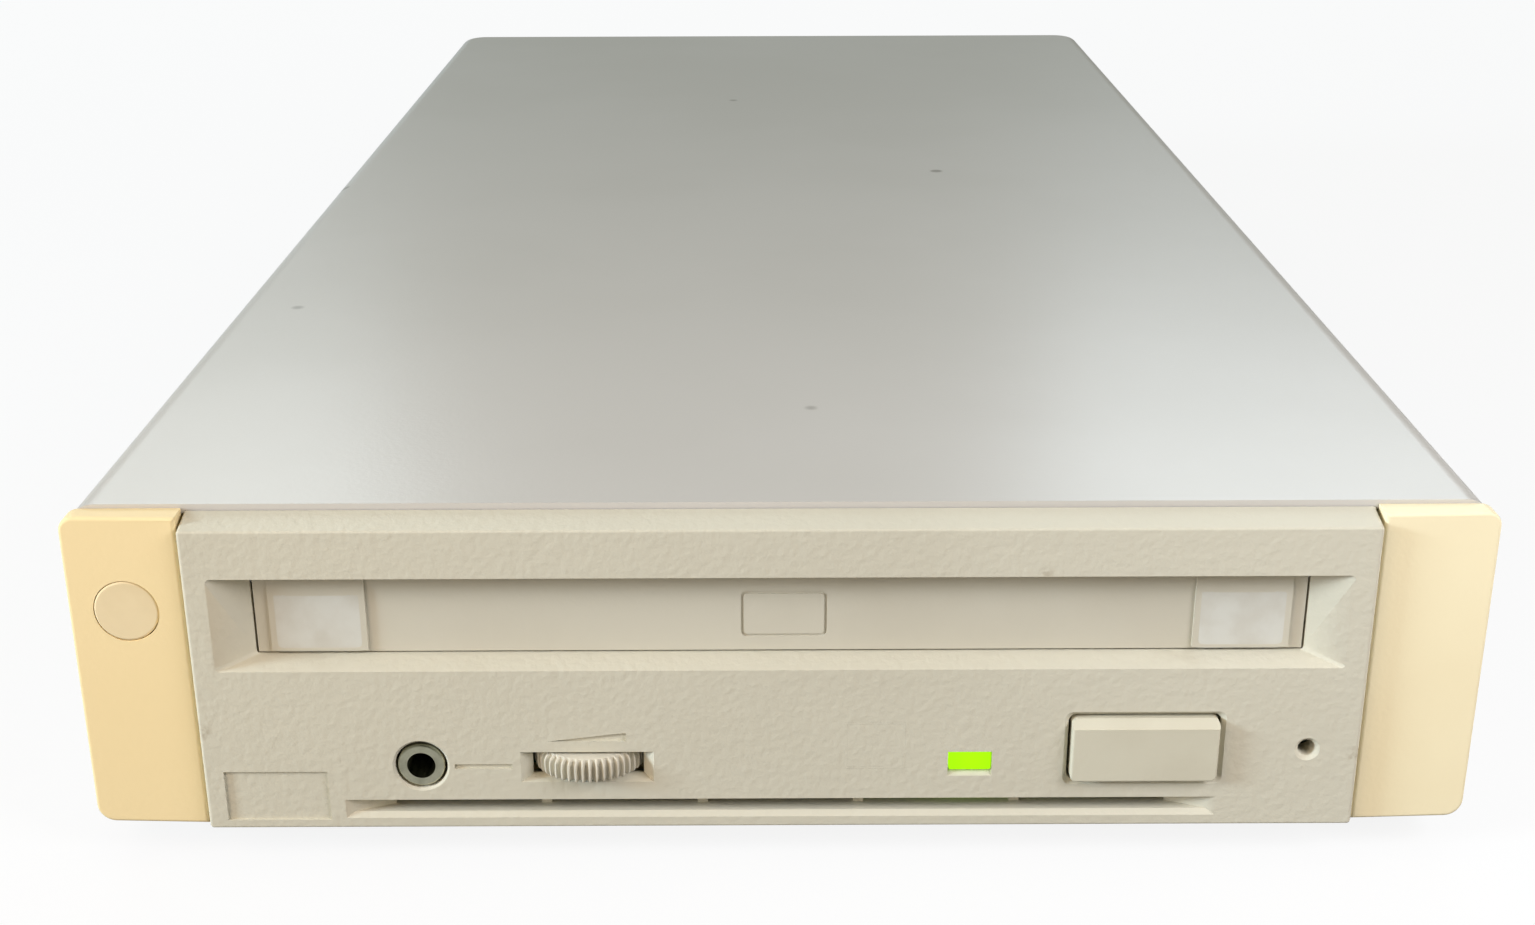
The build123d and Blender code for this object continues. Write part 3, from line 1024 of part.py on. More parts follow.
def make_caddy_carrier():
    """Open tray that the caddy slides into, with four cam pins."""
    wall = block((CARRIER_INSIDE, CARRIER_OUTSIDE), (CARRIER_FRONT + 6.0, CARRIER_BACK),
                 (CARRIER_LOW, CARRIER_HIGH))
    rail = block((CARRIER_INSIDE - SIDE_RAIL, CARRIER_OUTSIDE), (CARRIER_FRONT, CARRIER_BACK),
                 (CARRIER_LOW, CARRIER_FLOOR_TOP))
    lip = block((CARRIER_INSIDE - 4.0, CARRIER_INSIDE), (CARRIER_FRONT + 20.0, CARRIER_BACK),
                (CARRIER_HIGH - 0.9, CARRIER_HIGH))
    side = wall + rail + lip
    pin_start = CARRIER_OUTSIDE - 0.2
    for depth in CAM_DEPTHS:
        side += rod(pin_start, depth, CAM_Z, X_WAY, DRIVE_HALF - 1.0 - pin_start, CAM_PIN_RADIUS)
    carrier = both_sides(side)
    carrier += block((-CARRIER_INSIDE, CARRIER_INSIDE), (CARRIER_FRONT, CARRIER_FRONT + 14.0),
                     (CARRIER_LOW, CARRIER_FLOOR_TOP))
    carrier += block((-CARRIER_INSIDE, CARRIER_INSIDE), (CARRIER_BACK - 3.0, CARRIER_BACK),
                     (CARRIER_FLOOR_TOP + 1.6, CARRIER_HIGH))
    return carrier


def cam_slot(depth, x):
    """Sloped slot in which a cam pin runs as the slider moves back."""
    reach = (SLIDER_TRAVEL ** 2 + CARRIER_DROP ** 2) ** 0.5
    slope = degrees(asin(CARRIER_DROP / reach))
    width = 2 * (CAM_PIN_RADIUS + CAM_SLOT_CLEARANCE)
    middle = (x, deep(depth - SLIDER_TRAVEL / 2), CAM_Z - CARRIER_DROP / 2)
    shape = Plane(origin=middle, x_dir=(0, cos(radians(slope)), sin(radians(slope))), z_dir=X_WAY)
    return extrude(shape * SlotCenterToCenter(reach, width), 3, both=True)


def make_cam_slider():
    """Two slotted side plates joined by a cross bar, with a rack under the right-hand one."""
    plate = block((SLIDER_INSIDE, SLIDER_OUTSIDE), (SLIDER_FRONT, SLIDER_BACK), (SLIDER_LOW, SLIDER_HIGH))
    for depth in CAM_DEPTHS:
        plate -= cam_slot(depth, (SLIDER_INSIDE + SLIDER_OUTSIDE) / 2)
    slider = both_sides(plate)
    slider += block((-SLIDER_INSIDE - 0.5, SLIDER_INSIDE + 0.5), (SLIDER_BACK - 5.0, SLIDER_BACK - 3.0),
                    (SLIDER_HIGH - 7.0, SLIDER_HIGH - 2.0))
    middle = LOAD_GEAR_DEPTH - SLIDER_TRAVEL / 2
    pitch = pi * LOAD_MODULE
    shift = middle - LOAD_GEAR_DEPTH
    shift -= round(shift / pitch) * pitch
    points = [(middle - shift + s, LOAD_PITCH_Z + r) for s, r in rack_points(LOAD_MODULE, LOAD_RACK_TEETH)]
    top = SLIDER_LOW + 0.6
    front, back = points[0][0] - 0.6, points[-1][0] + 0.6
    outline = [(front, points[0][1])] + points + [(back, points[-1][1]), (back, top), (front, top)]
    rack = side_profile(outline, (SLIDER_INSIDE - 0.6, SLIDER_OUTSIDE + 0.2))
    return slider + rack


def make_loading_gear():
    place = Plane(origin=(GEAR_X[0], deep(LOAD_GEAR_DEPTH), LOAD_GEAR_Z), x_dir=Y_WAY, z_dir=X_WAY)
    gear = extrude(place * gear_sketch(LOAD_GEAR_TEETH, LOAD_MODULE, 90), GEAR_X[1] - GEAR_X[0],
                   dir=X_WAY)
    return gear - rod(GEAR_X[0] - 1, LOAD_GEAR_DEPTH, LOAD_GEAR_Z, X_WAY, 6, GEAR_POST_RADIUS + 0.06)


def make_loading_pinion():
    """Pinion on the motor's shaft, turned so that its gaps meet the gear's teeth."""
    line = -degrees(asin(LOAD_PINION_DROP / LOAD_CENTRES))
    gear_pitch = 360 / LOAD_GEAR_TEETH
    nearest = 90 + round((line - 90) / gear_pitch) * gear_pitch
    gap = 180 + line - (nearest - line) * LOAD_GEAR_TEETH / LOAD_PINION_TEETH
    outline = gear_sketch(LOAD_PINION_TEETH, LOAD_MODULE, gap + 180 / LOAD_PINION_TEETH)
    place = Plane(origin=(GEAR_X[0], deep(LOAD_PINION_DEPTH), LOAD_PINION_Z), x_dir=Y_WAY, z_dir=X_WAY)
    gear = extrude(place * outline, GEAR_X[1] - GEAR_X[0], dir=X_WAY)
    start = BRACKET_X[0] - 6.0
    return gear + rod(start, LOAD_PINION_DEPTH, LOAD_PINION_Z, X_WAY, GEAR_X[0] + 0.5 - start,
                      MOTOR_SHAFT_RADIUS)


def make_loading_motor():
    can = rod(BRACKET_X[0] - LOAD_MOTOR_LENGTH, LOAD_PINION_DEPTH, LOAD_PINION_Z, X_WAY,
              LOAD_MOTOR_LENGTH, LOAD_MOTOR_RADIUS)
    boss = rod(BRACKET_X[0] - 0.1, LOAD_PINION_DEPTH, LOAD_PINION_Z, X_WAY, 1.3, 2.4)
    bore = rod(BRACKET_X[0] - 7.0, LOAD_PINION_DEPTH, LOAD_PINION_Z, X_WAY, 12, MOTOR_SHAFT_RADIUS + 0.06)
    return can + boss - bore


def make_spindle_motor():
    body = rod(0, SPINDLE_DEPTH, MOTOR_LOW, Z_WAY, DECK_LOW - MOTOR_LOW, 13.0)
    boss = rod(0, SPINDLE_DEPTH, DECK_LOW - 0.1, Z_WAY, 2.4, MOTOR_BOSS_RADIUS)
    return body + boss - rod(0, SPINDLE_DEPTH, MOTOR_LOW + 1.0, Z_WAY, 14, SPINDLE_RADIUS + 0.06)


def make_turntable():
    plate = rod(0, SPINDLE_DEPTH, TURNTABLE_TOP - 1.6, Z_WAY, 1.6, 16.0)
    cone_part = cone(0, SPINDLE_DEPTH, TURNTABLE_TOP, Z_WAY, 0.7, 7.4, 6.6)
    neck = rod(0, SPINDLE_DEPTH, DECK_TOP + 1.2, Z_WAY, TURNTABLE_TOP - DECK_TOP - 2.0, 4.0)
    shaft = rod(0, SPINDLE_DEPTH, MOTOR_LOW + 1.2, Z_WAY, TURNTABLE_TOP - MOTOR_LOW - 2.0, SPINDLE_RADIUS)
    return plate + cone_part + neck + shaft


def make_clamp_arm():
    arm = block((-11.0, 11.0), (SPINDLE_DEPTH - 12.0, CLAMP_AXIS_DEPTH), (ARM_LOW, ARM_LOW + ARM_SHEET))
    barrel_start = SEAT_GAP - CLAMP_EAR_X
    arm += rod(barrel_start, CLAMP_AXIS_DEPTH, CLAMP_AXIS_Z, X_WAY, -2 * barrel_start, CLAMP_BARREL)
    arm -= rod(-20, CLAMP_AXIS_DEPTH, CLAMP_AXIS_Z, X_WAY, 40, CLAMP_PIN_RADIUS + 0.06)
    return arm - rod(0, SPINDLE_DEPTH, ARM_LOW - 1, Z_WAY, 4, 3.4)


def make_clamp_pin():
    start = -CLAMP_EAR_X - 2.4
    return rod(start, CLAMP_AXIS_DEPTH, CLAMP_AXIS_Z, X_WAY, -2 * start, CLAMP_PIN_RADIUS)


def make_clamp_puck():
    """Magnetic puck that hangs loose in the arm and turns with the disc."""
    disc = rod(0, SPINDLE_DEPTH, PUCK_LOW, Z_WAY, 2.0, 13.0)
    disc -= rod(0, SPINDLE_DEPTH, PUCK_LOW - 1, Z_WAY, 1.9, 7.8)
    neck = rod(0, SPINDLE_DEPTH, PUCK_LOW + 1.9, Z_WAY, ARM_SHEET + 1.1, 3.0)
    return disc + neck + rod(0, SPINDLE_DEPTH, ARM_LOW + ARM_SHEET + 0.3, Z_WAY, 0.8, 5.0)


def make_optical_sled():
    """Body that slides on the two rails, with a rack along its left side."""
    body = block((-SLED_HALF, SLED_HALF), (SLED_FRONT, SLED_FRONT + SLED_LENGTH),
                 (SLED_LOW, DECK_LOW - 0.6))
    body += block((-13.0, 13.0), (SLED_FRONT, SLED_FRONT + 24.0), (DECK_LOW - 1.0, SLED_TOP))
    for x in (-RAIL_X, RAIL_X):
        body -= rod(x, SLED_FRONT - 1, RAIL_Z, Y_WAY, SLED_LENGTH + 2, RAIL_RADIUS + 0.06)
    body -= rod(0, LENS_DEPTH, SLED_TOP - 4.5, Z_WAY, 6, LENS_RADIUS + 0.4)
    pitch = pi * SLED_MODULE
    start = SLED_PINION_DEPTH - SLED_TRAVEL - 3.2
    teeth = int((SLED_TRAVEL + 6.4) / pitch)
    middle = start + (teeth * pitch) / 2
    shift = middle - SLED_PINION_DEPTH
    shift -= round(shift / pitch) * pitch
    even = teeth + teeth % 2
    points = [(middle - shift + s, SLED_PITCH_X + r) for s, r in rack_points(SLED_MODULE, even)]
    side = -SLED_HALF + 0.2
    front, back = points[0][0] - 0.5, points[-1][0] + 0.5
    outline = [(front, points[0][1])] + points + [(back, points[-1][1]), (back, side), (front, side)]
    face = make_face(Polyline(*[(x, deep(d), SLED_RACK_Z[0]) for d, x in outline], close=True))
    return body + extrude(face, SLED_RACK_Z[1] - SLED_RACK_Z[0], dir=Z_WAY)


def make_objective_lens():
    holder = rod(0, LENS_DEPTH, SLED_TOP - 3.6, Z_WAY, 4.6, LENS_RADIUS)
    dome = rod(0, LENS_DEPTH, SLED_TOP + 0.9, Z_WAY, 0.7, 2.2)
    return holder + fillet(edges_where(dome, lambda x, d, z: z > SLED_TOP + 1.5), 0.5)


def make_sled_rails():
    length = RAIL_BACK - RAIL_FRONT + 1.2
    return [rod(x, RAIL_FRONT - 0.6, RAIL_Z, Y_WAY, length, RAIL_RADIUS) for x in (-RAIL_X, RAIL_X)]


def make_sled_pinion():
    low, high = SLED_RACK_Z[0] + 0.1, SLED_RACK_Z[1] - 0.1
    place = Plane(origin=(SLED_PINION_X, deep(SLED_PINION_DEPTH), low), x_dir=X_WAY, z_dir=Z_WAY)
    gear = extrude(place * gear_sketch(SLED_PINION_TEETH, SLED_MODULE, 0), high - low, dir=Z_WAY)
    shaft = rod(SLED_PINION_X, SLED_PINION_DEPTH, SLED_RACK_Z[0] + 0.5, Z_WAY, 5.0, 0.8)
    return gear + shaft


def make_sled_motor():
    low = SLED_RACK_Z[1] + SEAT_GAP
    body = rod(SLED_PINION_X, SLED_PINION_DEPTH, low, Z_WAY, DECK_LOW - low, 6.2)
    boss = rod(SLED_PINION_X, SLED_PINION_DEPTH, DECK_LOW - 0.1, Z_WAY, 1.2, 2.0)
    return body + boss - rod(SLED_PINION_X, SLED_PINION_DEPTH, SLED_RACK_Z[1], Z_WAY, 3.8, 0.86)


def make_main_circuit_board():
    side = WALL_INSIDE - BOARD_SIDE_GAP
    board = block((-side, side), (38.0, DRIVE_DEPTH - 8.0), (BOARD_LOW, BOARD_TOP))
    for depth in MOUNT_DEPTHS:
        board -= both_sides(rod(MOUNT_X, depth, BOARD_LOW - 1, Z_WAY, 4, SCREW_SHANK_RADIUS + 0.6))
    return board


def make_board_chips():
    """Chips and sockets, kept clear of what hangs from the deck."""
    places = [(-52, 62, 20, 14), (-50, 96, 16, 16), (-50, 134, 16, 16), (40, 66, 14, 20), (42, 100, 18, 12),
              (42, 128, 18, 12), (0, 180, 20, 14), (-38, 181, 20, 12)]
    chips = [block((x - w / 2, x + w / 2), (d - h / 2, d + h / 2), (BOARD_TOP, BOARD_TOP + 2.6))
             for x, d, w, h in places]
    edge = DRIVE_DEPTH - 8.0
    chips.append(block((-32.0, 32.0), (edge - 8.0, edge), (BOARD_TOP, BOARD_TOP + 1.6)))
    power = block((-56.0, -34.0), (edge - 10.0, edge), (BOARD_TOP + 2.8, BOARD_TOP + 9.0))
    power += block((-56.0, -34.0), (edge - 3.0, edge), (BOARD_TOP, BOARD_TOP + 3.0))
    return chips + [power]


# Power supply and wiring

def make_power_supply_board():
    return block(SUPPLY_X, SUPPLY_DEPTH, (BOARD_LOW, BOARD_TOP))


def make_transformer():
    x, depth = SUPPLY_X[1] - 26.0, SUPPLY_DEPTH[0] + 32.0
    core = block((x - 19.0, x + 19.0), (depth - 8.0, depth + 8.0), (BOARD_TOP, BOARD_TOP + 27.0))
    bobbin = block((x - 12.0, x + 12.0), (depth - 14.0, depth + 14.0), (BOARD_TOP, BOARD_TOP + 22.0))
    return core + bobbin


def make_capacitors():
    low = SUPPLY_DEPTH[1]
    places = [(SUPPLY_X[0] + 14.0, low - 20.0, 9.0, 27.0), (SUPPLY_X[0] + 14.0, low - 42.0, 6.5, 22.0),
              (SUPPLY_X[0] + 30.0, low - 46.0, 5.0, 18.0)]
    cans = []
    for x, depth, radius, height in places:
        can = rod(x, depth, BOARD_TOP, Z_WAY, height, radius)
        cans.append(fillet(edges_where(can, lambda a, b, c: c > BOARD_TOP + height - 0.1), 0.8))
    return cans


def make_heat_sink():
    x, depth = SUPPLY_X[0] + 14.0, SUPPLY_DEPTH[0] + 25.0
    sink = block((x - 2.0, x + 2.0), (depth - 22.0, depth + 22.0), (BOARD_TOP, BOARD_TOP + 28.0))
    for step in range(8):
        y = depth - 21.0 + 6.0 * step
        sink += block((x - 10.0, x + 10.0), (y - 0.7, y + 0.7), (BOARD_TOP + 3.0, BOARD_TOP + 28.0))
    return sink


def make_ribbon_cable():
    """Flat cable from the main board's edge to the backs of both data sockets."""
    low = PAN_TOP + CABLE_SHEET / 2 + 0.2
    start = DRIVE_DEPTH - 8.0
    end = PANEL_FACE - SOCKET_CORE_BACK - CABLE_SHEET / 2 - 0.1
    points = [(start, BOARD_TOP + 2.3), (DRIVE_DEPTH + 8.0, BOARD_TOP + 2.3), (DRIVE_DEPTH + 16.0, low),
              (end - 9.0, low), (end, low + 7.0), (end, SOCKET_ZS[1] + 4.0)]
    path = FilletPolyline(*[(SOCKET_X + 2.0, deep(d), z) for d, z in points], radius=4.0)
    place = Plane(origin=(SOCKET_X + 2.0, deep(start), points[0][1]), x_dir=X_WAY, z_dir=Y_WAY)
    return sweep(place * Rectangle(CABLE_WIDTH, CABLE_SHEET), path=path)


def make_wiring_harness():
    """Supply leads to the drive, mains leads from the inlet and switch, and the sound lead."""
    lead_z = BOARD_TOP + 5.9
    front, back = SUPPLY_DEPTH[0] + 1.0, SUPPLY_DEPTH[1] - 5.0
    across = front - 10.0
    leads = [block((SUPPLY_PLUG_X - 5.0, SUPPLY_PLUG_X + 5.0), (front, front + 1.4),
                   (BOARD_TOP, BOARD_TOP + 9.0))]
    inlet = (INLET_X + BLADE_PLACES[0][0], INLET_Z + BLADE_PLACES[0][1])
    routes = [
        ([(SUPPLY_PLUG_X, front, lead_z), (SUPPLY_PLUG_X, across, lead_z),
          (-45.0, across, lead_z), (-45.0, DRIVE_DEPTH - 7.9, lead_z)], 1.6, 4.0),
        ([(inlet[0], PANEL_FACE - BLADE_TAIL - 0.1, inlet[1]), (inlet[0], back, inlet[1]),
          (inlet[0], back, BOARD_TOP)], 1.0, 2.2),
        ([(SWITCH_X, PANEL_FACE - SWITCH_TAIL - 0.1, SWITCH_Z), (SWITCH_X, back - 2.0, SWITCH_Z),
          (SWITCH_X, back - 2.0, BOARD_TOP)], 1.0, 4.0),
    ]
    for points, radius, bend in routes:
        place = [(x, deep(d), z) for x, d, z in points]
        way = [b - a for a, b in zip(place[0], place[1])]
        path = FilletPolyline(*place, radius=bend)
        leads.append(sweep(Plane(origin=place[0], z_dir=way) * Circle(radius), path=path))
    return leads


NODES = {
    "top_cover": make_top_cover,
    "base_pan": make_base_pan,
    "front_frame": make_front_frame,
    "blank_badge": make_blank_badge,
    "rear_panel": make_rear_panel,
    "rubber_feet": make_rubber_feet,
    "cover_screws": make_cover_screws,
    "drive_mount_screws": make_drive_mount_screws,
    "drive_bezel": make_drive_bezel,
    "caddy_door": make_caddy_door,
    "door_pin": make_door_pin,
    "eject_button": make_eject_button,
    "eject_switch": make_eject_switch,
    "volume_wheel": make_volume_wheel,
    "volume_control": make_volume_control,
    "headphone_jack": make_headphone_jack,
    "jack_bush": make_jack_bush,
    "led_lens": make_led_lens,
    "front_circuit_board": make_front_circuit_board,
    "front_board_parts": make_front_board_parts,
    "drive_chassis": make_drive_chassis,
    "drive_top_plate": make_drive_top_plate,
    "mechanism_deck": make_mechanism_deck,
    "deck_grommets": make_deck_grommets,
    "caddy_carrier": make_caddy_carrier,
    "cam_slider": make_cam_slider,
    "loading_gear": make_loading_gear,
    "loading_pinion": make_loading_pinion,
    "loading_motor": make_loading_motor,
    "spindle_motor": make_spindle_motor,
    "turntable": make_turntable,
    "clamp_arm": make_clamp_arm,
    "clamp_pin": make_clamp_pin,
    "clamp_puck": make_clamp_puck,
    "optical_sled": make_optical_sled,
    "objective_lens": make_objective_lens,
    "sled_rails": make_sled_rails,
    "sled_pinion": make_sled_pinion,
    "sled_motor": make_sled_motor,
    "main_circuit_board": make_main_circuit_board,
    "board_chips": make_board_chips,
    "power_supply_board": make_power_supply_board,
    "transformer": make_transformer,
    "capacitors": make_capacitors,
    "heat_sink": make_heat_sink,
    "ribbon_cable": make_ribbon_cable,
    "wiring_harness": make_wiring_harness,
    "power_inlet": make_power_inlet,
    "power_switch": make_power_switch,
    "power_rocker": make_power_rocker,
    "data_sockets": make_data_sockets,
    "selector_body": make_selector_body,
    "selector_drum": make_selector_drum,
    "selector_button_upper": lambda: make_selector_button(1),
    "selector_button_lower": lambda: make_selector_button(-1),
    "audio_jacks": make_audio_jacks,
}
for row, height in enumerate(SOCKET_ZS):
    for side, word in ((-1, "left"), (1, "right")):
        level = ("lower", "upper")[row]
        NODES[f"socket_bail_{level}_{word}"] = lambda side=side, height=height: make_bail(side, height)

os.makedirs("parts", exist_ok=True)
for name, make in NODES.items():
    made = make()
    solids = []
    for piece in made if isinstance(made, list) else [made]:
        solids += piece.solids()
    shape = solids[0] if len(solids) == 1 else Compound(children=solids)
    export_step(shape, f"parts/{name}.step")
    print(f"{name}: {len(solids)} solids, {sum(s.volume for s in solids):.1f} cubic millimetres")
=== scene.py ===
"""Looks of an external disc drive with a caddy door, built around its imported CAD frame.

Lengths are written in millimetres in the frame's own axes: X to the right seen from the front,
Y towards the back and Z up. They turn to metres only where a mesh, a lamp or a pattern is made.
"""

import logging
import math
from dataclasses import dataclass, field
from enum import Enum

import bmesh
import bpy
import numpy as np
from mathutils import Matrix, Vector


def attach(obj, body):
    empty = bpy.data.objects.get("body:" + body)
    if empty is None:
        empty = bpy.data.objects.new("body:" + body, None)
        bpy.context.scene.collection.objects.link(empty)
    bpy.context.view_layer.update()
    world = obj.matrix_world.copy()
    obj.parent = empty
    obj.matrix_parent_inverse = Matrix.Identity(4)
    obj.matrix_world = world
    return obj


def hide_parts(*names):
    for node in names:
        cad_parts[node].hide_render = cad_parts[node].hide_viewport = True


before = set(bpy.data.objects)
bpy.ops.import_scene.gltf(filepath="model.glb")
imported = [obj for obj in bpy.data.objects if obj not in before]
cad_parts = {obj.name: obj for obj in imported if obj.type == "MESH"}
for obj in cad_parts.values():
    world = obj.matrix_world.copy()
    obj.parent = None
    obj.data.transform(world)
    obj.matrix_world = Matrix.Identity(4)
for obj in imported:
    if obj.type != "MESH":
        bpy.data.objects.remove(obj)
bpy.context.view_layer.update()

LOG = logging.getLogger("disc_drive")
MM = 0.001
CASE_DEPTH = 356.0
WHEEL_PROUD = 2.2
FRONT_Y = -(CASE_DEPTH - WHEEL_PROUD) / 2
PANEL_FACE = CASE_DEPTH - 8.0  # the rear panel stands this far behind the drive's front
WELD = 2e-6  # metres: points nearer than this are one
FLAT_DEGREES = 0.6  # triangles that differ by less than this are one flat face
FLAT_WEIGHT = 80  # how far a large face's own direction wins at its rounded edges
SMOOTH = {"interpolation_type": "SMOOTHSTEP"}
COLOURS = {"data_type": "RGBA"}

Triple = tuple[float, float, float]
Pair = tuple[float, float]
Tree = bpy.types.NodeTree
Socket = bpy.types.NodeSocket
Wire = bpy.types.Node | bpy.types.NodeSocket | float


class Axis(Enum):
    """Direction that a surface was brushed, drawn or laid along, as an index into X, Y, Z."""

    X = 0
    Y = 1
    Z = 2


class Channel(Enum):
    """What one part of a finish's pattern drives, as the name of the input it goes into."""

    COLOUR = "Base Color"
    ROUGHNESS = "Roughness"
    METALLIC = "Metallic"
    GLOW = "Emission Strength"
    HEIGHT = "Height"


class Kind(Enum):
    """Kinds of shader node that the finishes use, under Blender's names."""

    BACKGROUND = "ShaderNodeBackground"
    BRICKS = "ShaderNodeTexBrick"
    BUMP = "ShaderNodeBump"
    CELLS = "ShaderNodeTexVoronoi"
    COORDS = "ShaderNodeTexCoord"
    EMISSION = "ShaderNodeEmission"
    MAPPING = "ShaderNodeMapping"
    MATH = "ShaderNodeMath"
    MATTE = "ShaderNodeBsdfDiffuse"
    MIX = "ShaderNodeMix"
    MIX_SHADERS = "ShaderNodeMixShader"
    NOISE = "ShaderNodeTexNoise"
    PRINCIPLED = "ShaderNodeBsdfPrincipled"
    RANGE = "ShaderNodeMapRange"
    RAY = "ShaderNodeLightPath"
    SPLIT = "ShaderNodeSeparateXYZ"
    SPLIT_COLOUR = "ShaderNodeSeparateColor"
    SURFACE = "ShaderNodeOutputMaterial"
    VECTORS = "ShaderNodeVectorMath"
    WORLD = "ShaderNodeOutputWorld"


def deep(depth: float) -> float:
    """Y in millimetres of a place that lies this far behind the face of the drive's front."""
    return FRONT_Y + depth


def metres(place: Triple) -> Triple:
    """A place in millimetres turned to metres."""
    return tuple(c * MM for c in place)


def scale(size_mm: float) -> float:
    """Scale of a texture whose features have this size."""
    return 1 / (size_mm * MM)


def linear(code: str) -> tuple[float, float, float, float]:
    """Turns an sRGB hex colour into linear values with full alpha.

    Args:
        code: Six hex digits after a hash.

    Returns:
        Red, green, blue and alpha.
    """
    parts = [int(code[i:i + 2], 16) / 255 for i in (1, 3, 5)]
    low = [c / 12.92 if c <= 0.04045 else ((c + 0.055) / 1.055) ** 2.4 for c in parts]
    return (low[0], low[1], low[2], 1.0)


def add(tree: Tree, kind: Kind, inputs: dict | None = None, **settings: object) -> bpy.types.Node:
    """Adds a node with its settings and links.

    Args:
        tree: Node tree that the node goes into.
        kind: Kind of node.
        inputs: Input names or indices, each with a value, with the socket that feeds it, or with
            the node whose first output in use feeds it.
        settings: Properties of the node itself.

    Returns:
        The new node.
    """
    made = tree.nodes.new(kind.value)
    for name, value in settings.items():
        setattr(made, name, value)
    for key, value in (inputs or {}).items():
        if isinstance(value, bpy.types.Node):
            value = next(out for out in value.outputs if out.enabled)
        if isinstance(value, bpy.types.NodeSocket):
            tree.links.new(value, made.inputs[key])
        else:
            made.inputs[key].default_value = value
    return made


def blank_material(name: str) -> bpy.types.Material:
    """Makes a material whose node tree is still empty.

    Args:
        name: Name of the material.

    Returns:
        The material.
    """
    made = bpy.data.materials.new(name)
    made.use_nodes = True
    made.node_tree.nodes.clear()
    return made


def link(name: str, data: bpy.types.ID) -> bpy.types.Object:
    """Puts a mesh, lamp or camera into the scene.

    Args:
        name: Name of the object.
        data: What the object shows.

    Returns:
        The object, at the origin.
    """
    made = bpy.data.objects.new(name, data)
    bpy.context.scene.collection.objects.link(made)
    return made


# Meshes


def grids_mesh(name: str, grids: np.ndarray, close_rows: bool = False,
               close_columns: bool = True) -> bpy.types.Object:
    """Makes one object out of grids of points.

    Face (i, j) of a grid joins point (i, j) to (i + 1, j), (i + 1, j + 1) and (i, j + 1). A closed
    direction goes on from its last line of points to its first. Rows or columns that lie on one
    point are merged into a pole.

    Args:
        name: Name of the object.
        grids: Points in millimetres, shaped (grids, rows, columns, 3).
        close_rows: True if the last row joins the first.
        close_columns: True if the last column joins the first.

    Returns:
        The object, at the origin, smooth and with its faces pointing outwards.
    """
    count, rows, columns, _ = grids.shape
    i, j = np.meshgrid(np.arange(rows if close_rows else rows - 1),
                       np.arange(columns if close_columns else columns - 1), indexing="ij")
    down, right = (i + 1) % rows, (j + 1) % columns
    quads = np.stack([i * columns + j, down * columns + j, down * columns + right,
                      i * columns + right], axis=-1).reshape(-1, 4)
    starts = np.arange(count)[:, None, None] * rows * columns
    faces = (quads[None] + starts).reshape(-1, 4)
    mesh = bpy.data.meshes.new(name)
    mesh.from_pydata((grids.reshape(-1, 3) * MM).tolist(), [], faces.tolist())
    work = bmesh.new()
    work.from_mesh(mesh)
    bmesh.ops.remove_doubles(work, verts=work.verts, dist=WELD)
    bmesh.ops.recalc_face_normals(work, faces=work.faces)
    work.to_mesh(mesh)
    work.free()
    mesh.shade_smooth()
    return link(name, mesh)


def power(wave: np.ndarray, exponent: float) -> np.ndarray:
    """Sine or cosine values raised to a power with their sign kept, which squares a circle."""
    return np.sign(wave) * np.abs(wave) ** exponent


def loop(points: int) -> np.ndarray:
    """Angles once round, without the last that would repeat the first."""
    return np.linspace(0, 2 * math.pi, points, endpoint=False)


def crowned_slab(half: Triple, edge: float, corner: float, rows: int, columns: int) -> np.ndarray:
    """Slab with rounded edges and corners, thin along Y.

    A superellipsoid: X is half[0] * cos(v)^edge * cos(u)^corner, Z is half[2] * cos(v)^edge *
    sin(u)^corner and Y is half[1] * sin(v)^edge, for u round the slab and v from face to face.

    Args:
        half: Half its size along X, Y and Z in millimetres.
        edge: Exponent of the rounding from face to side; small is sharp.
        corner: Exponent of the rounding of the outline; small is square.
        rows: Points from face to face.
        columns: Points round the outline.

    Returns:
        Points shaped (rows, columns, 3) round the origin.
    """
    v = np.linspace(-math.pi / 2, math.pi / 2, rows)[:, None]
    u = loop(columns)[None]
    ring = power(np.cos(v), edge)
    x = half[0] * ring * power(np.cos(u), corner)
    z = half[2] * ring * power(np.sin(u), corner)
    y = half[1] * power(np.sin(v), edge) * np.ones_like(u)
    return np.stack([x, y, z], axis=-1)


def ring_surface(radius: float, thick: float, rows: int = 10, columns: int = 40) -> np.ndarray:
    """Round ring that lies in the X-Z plane.

    A torus: a circle of radius thick carried round a circle of the given radius.

    Args:
        radius: Radius of the ring's middle line in millimetres.
        thick: Half its thickness in millimetres.
        rows: Points round the section.
        columns: Points round the ring.

    Returns:
        Points shaped (rows, columns, 3) round the origin.
    """
    v, u = loop(rows)[:, None], loop(columns)[None]
    reach = radius + thick * np.cos(v)
    return np.stack([reach * np.cos(u), thick * np.sin(v) * np.ones_like(u), reach * np.sin(u)],
                    axis=-1)


def dress(piece: bpy.types.Object, body: str, slot: str, finish: "Finish", *nodes: str) -> None:
    """Gives a finished piece its body and material, and hides the CAD nodes that it stands for.

    Args:
        piece: Object whose place is in its mesh.
        body: CAD body that it moves with.
        slot: Material slot of the record; not used.
        finish: Finish of its surface.
        nodes: CAD nodes that it replaces.
    """
    piece.data.materials.clear()
    piece.data.materials.append(finish.material())
    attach(piece, body)
    if nodes:
        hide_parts(*nodes)
    LOG.info("%s rides on %s in %s", piece.name, body, finish.name)


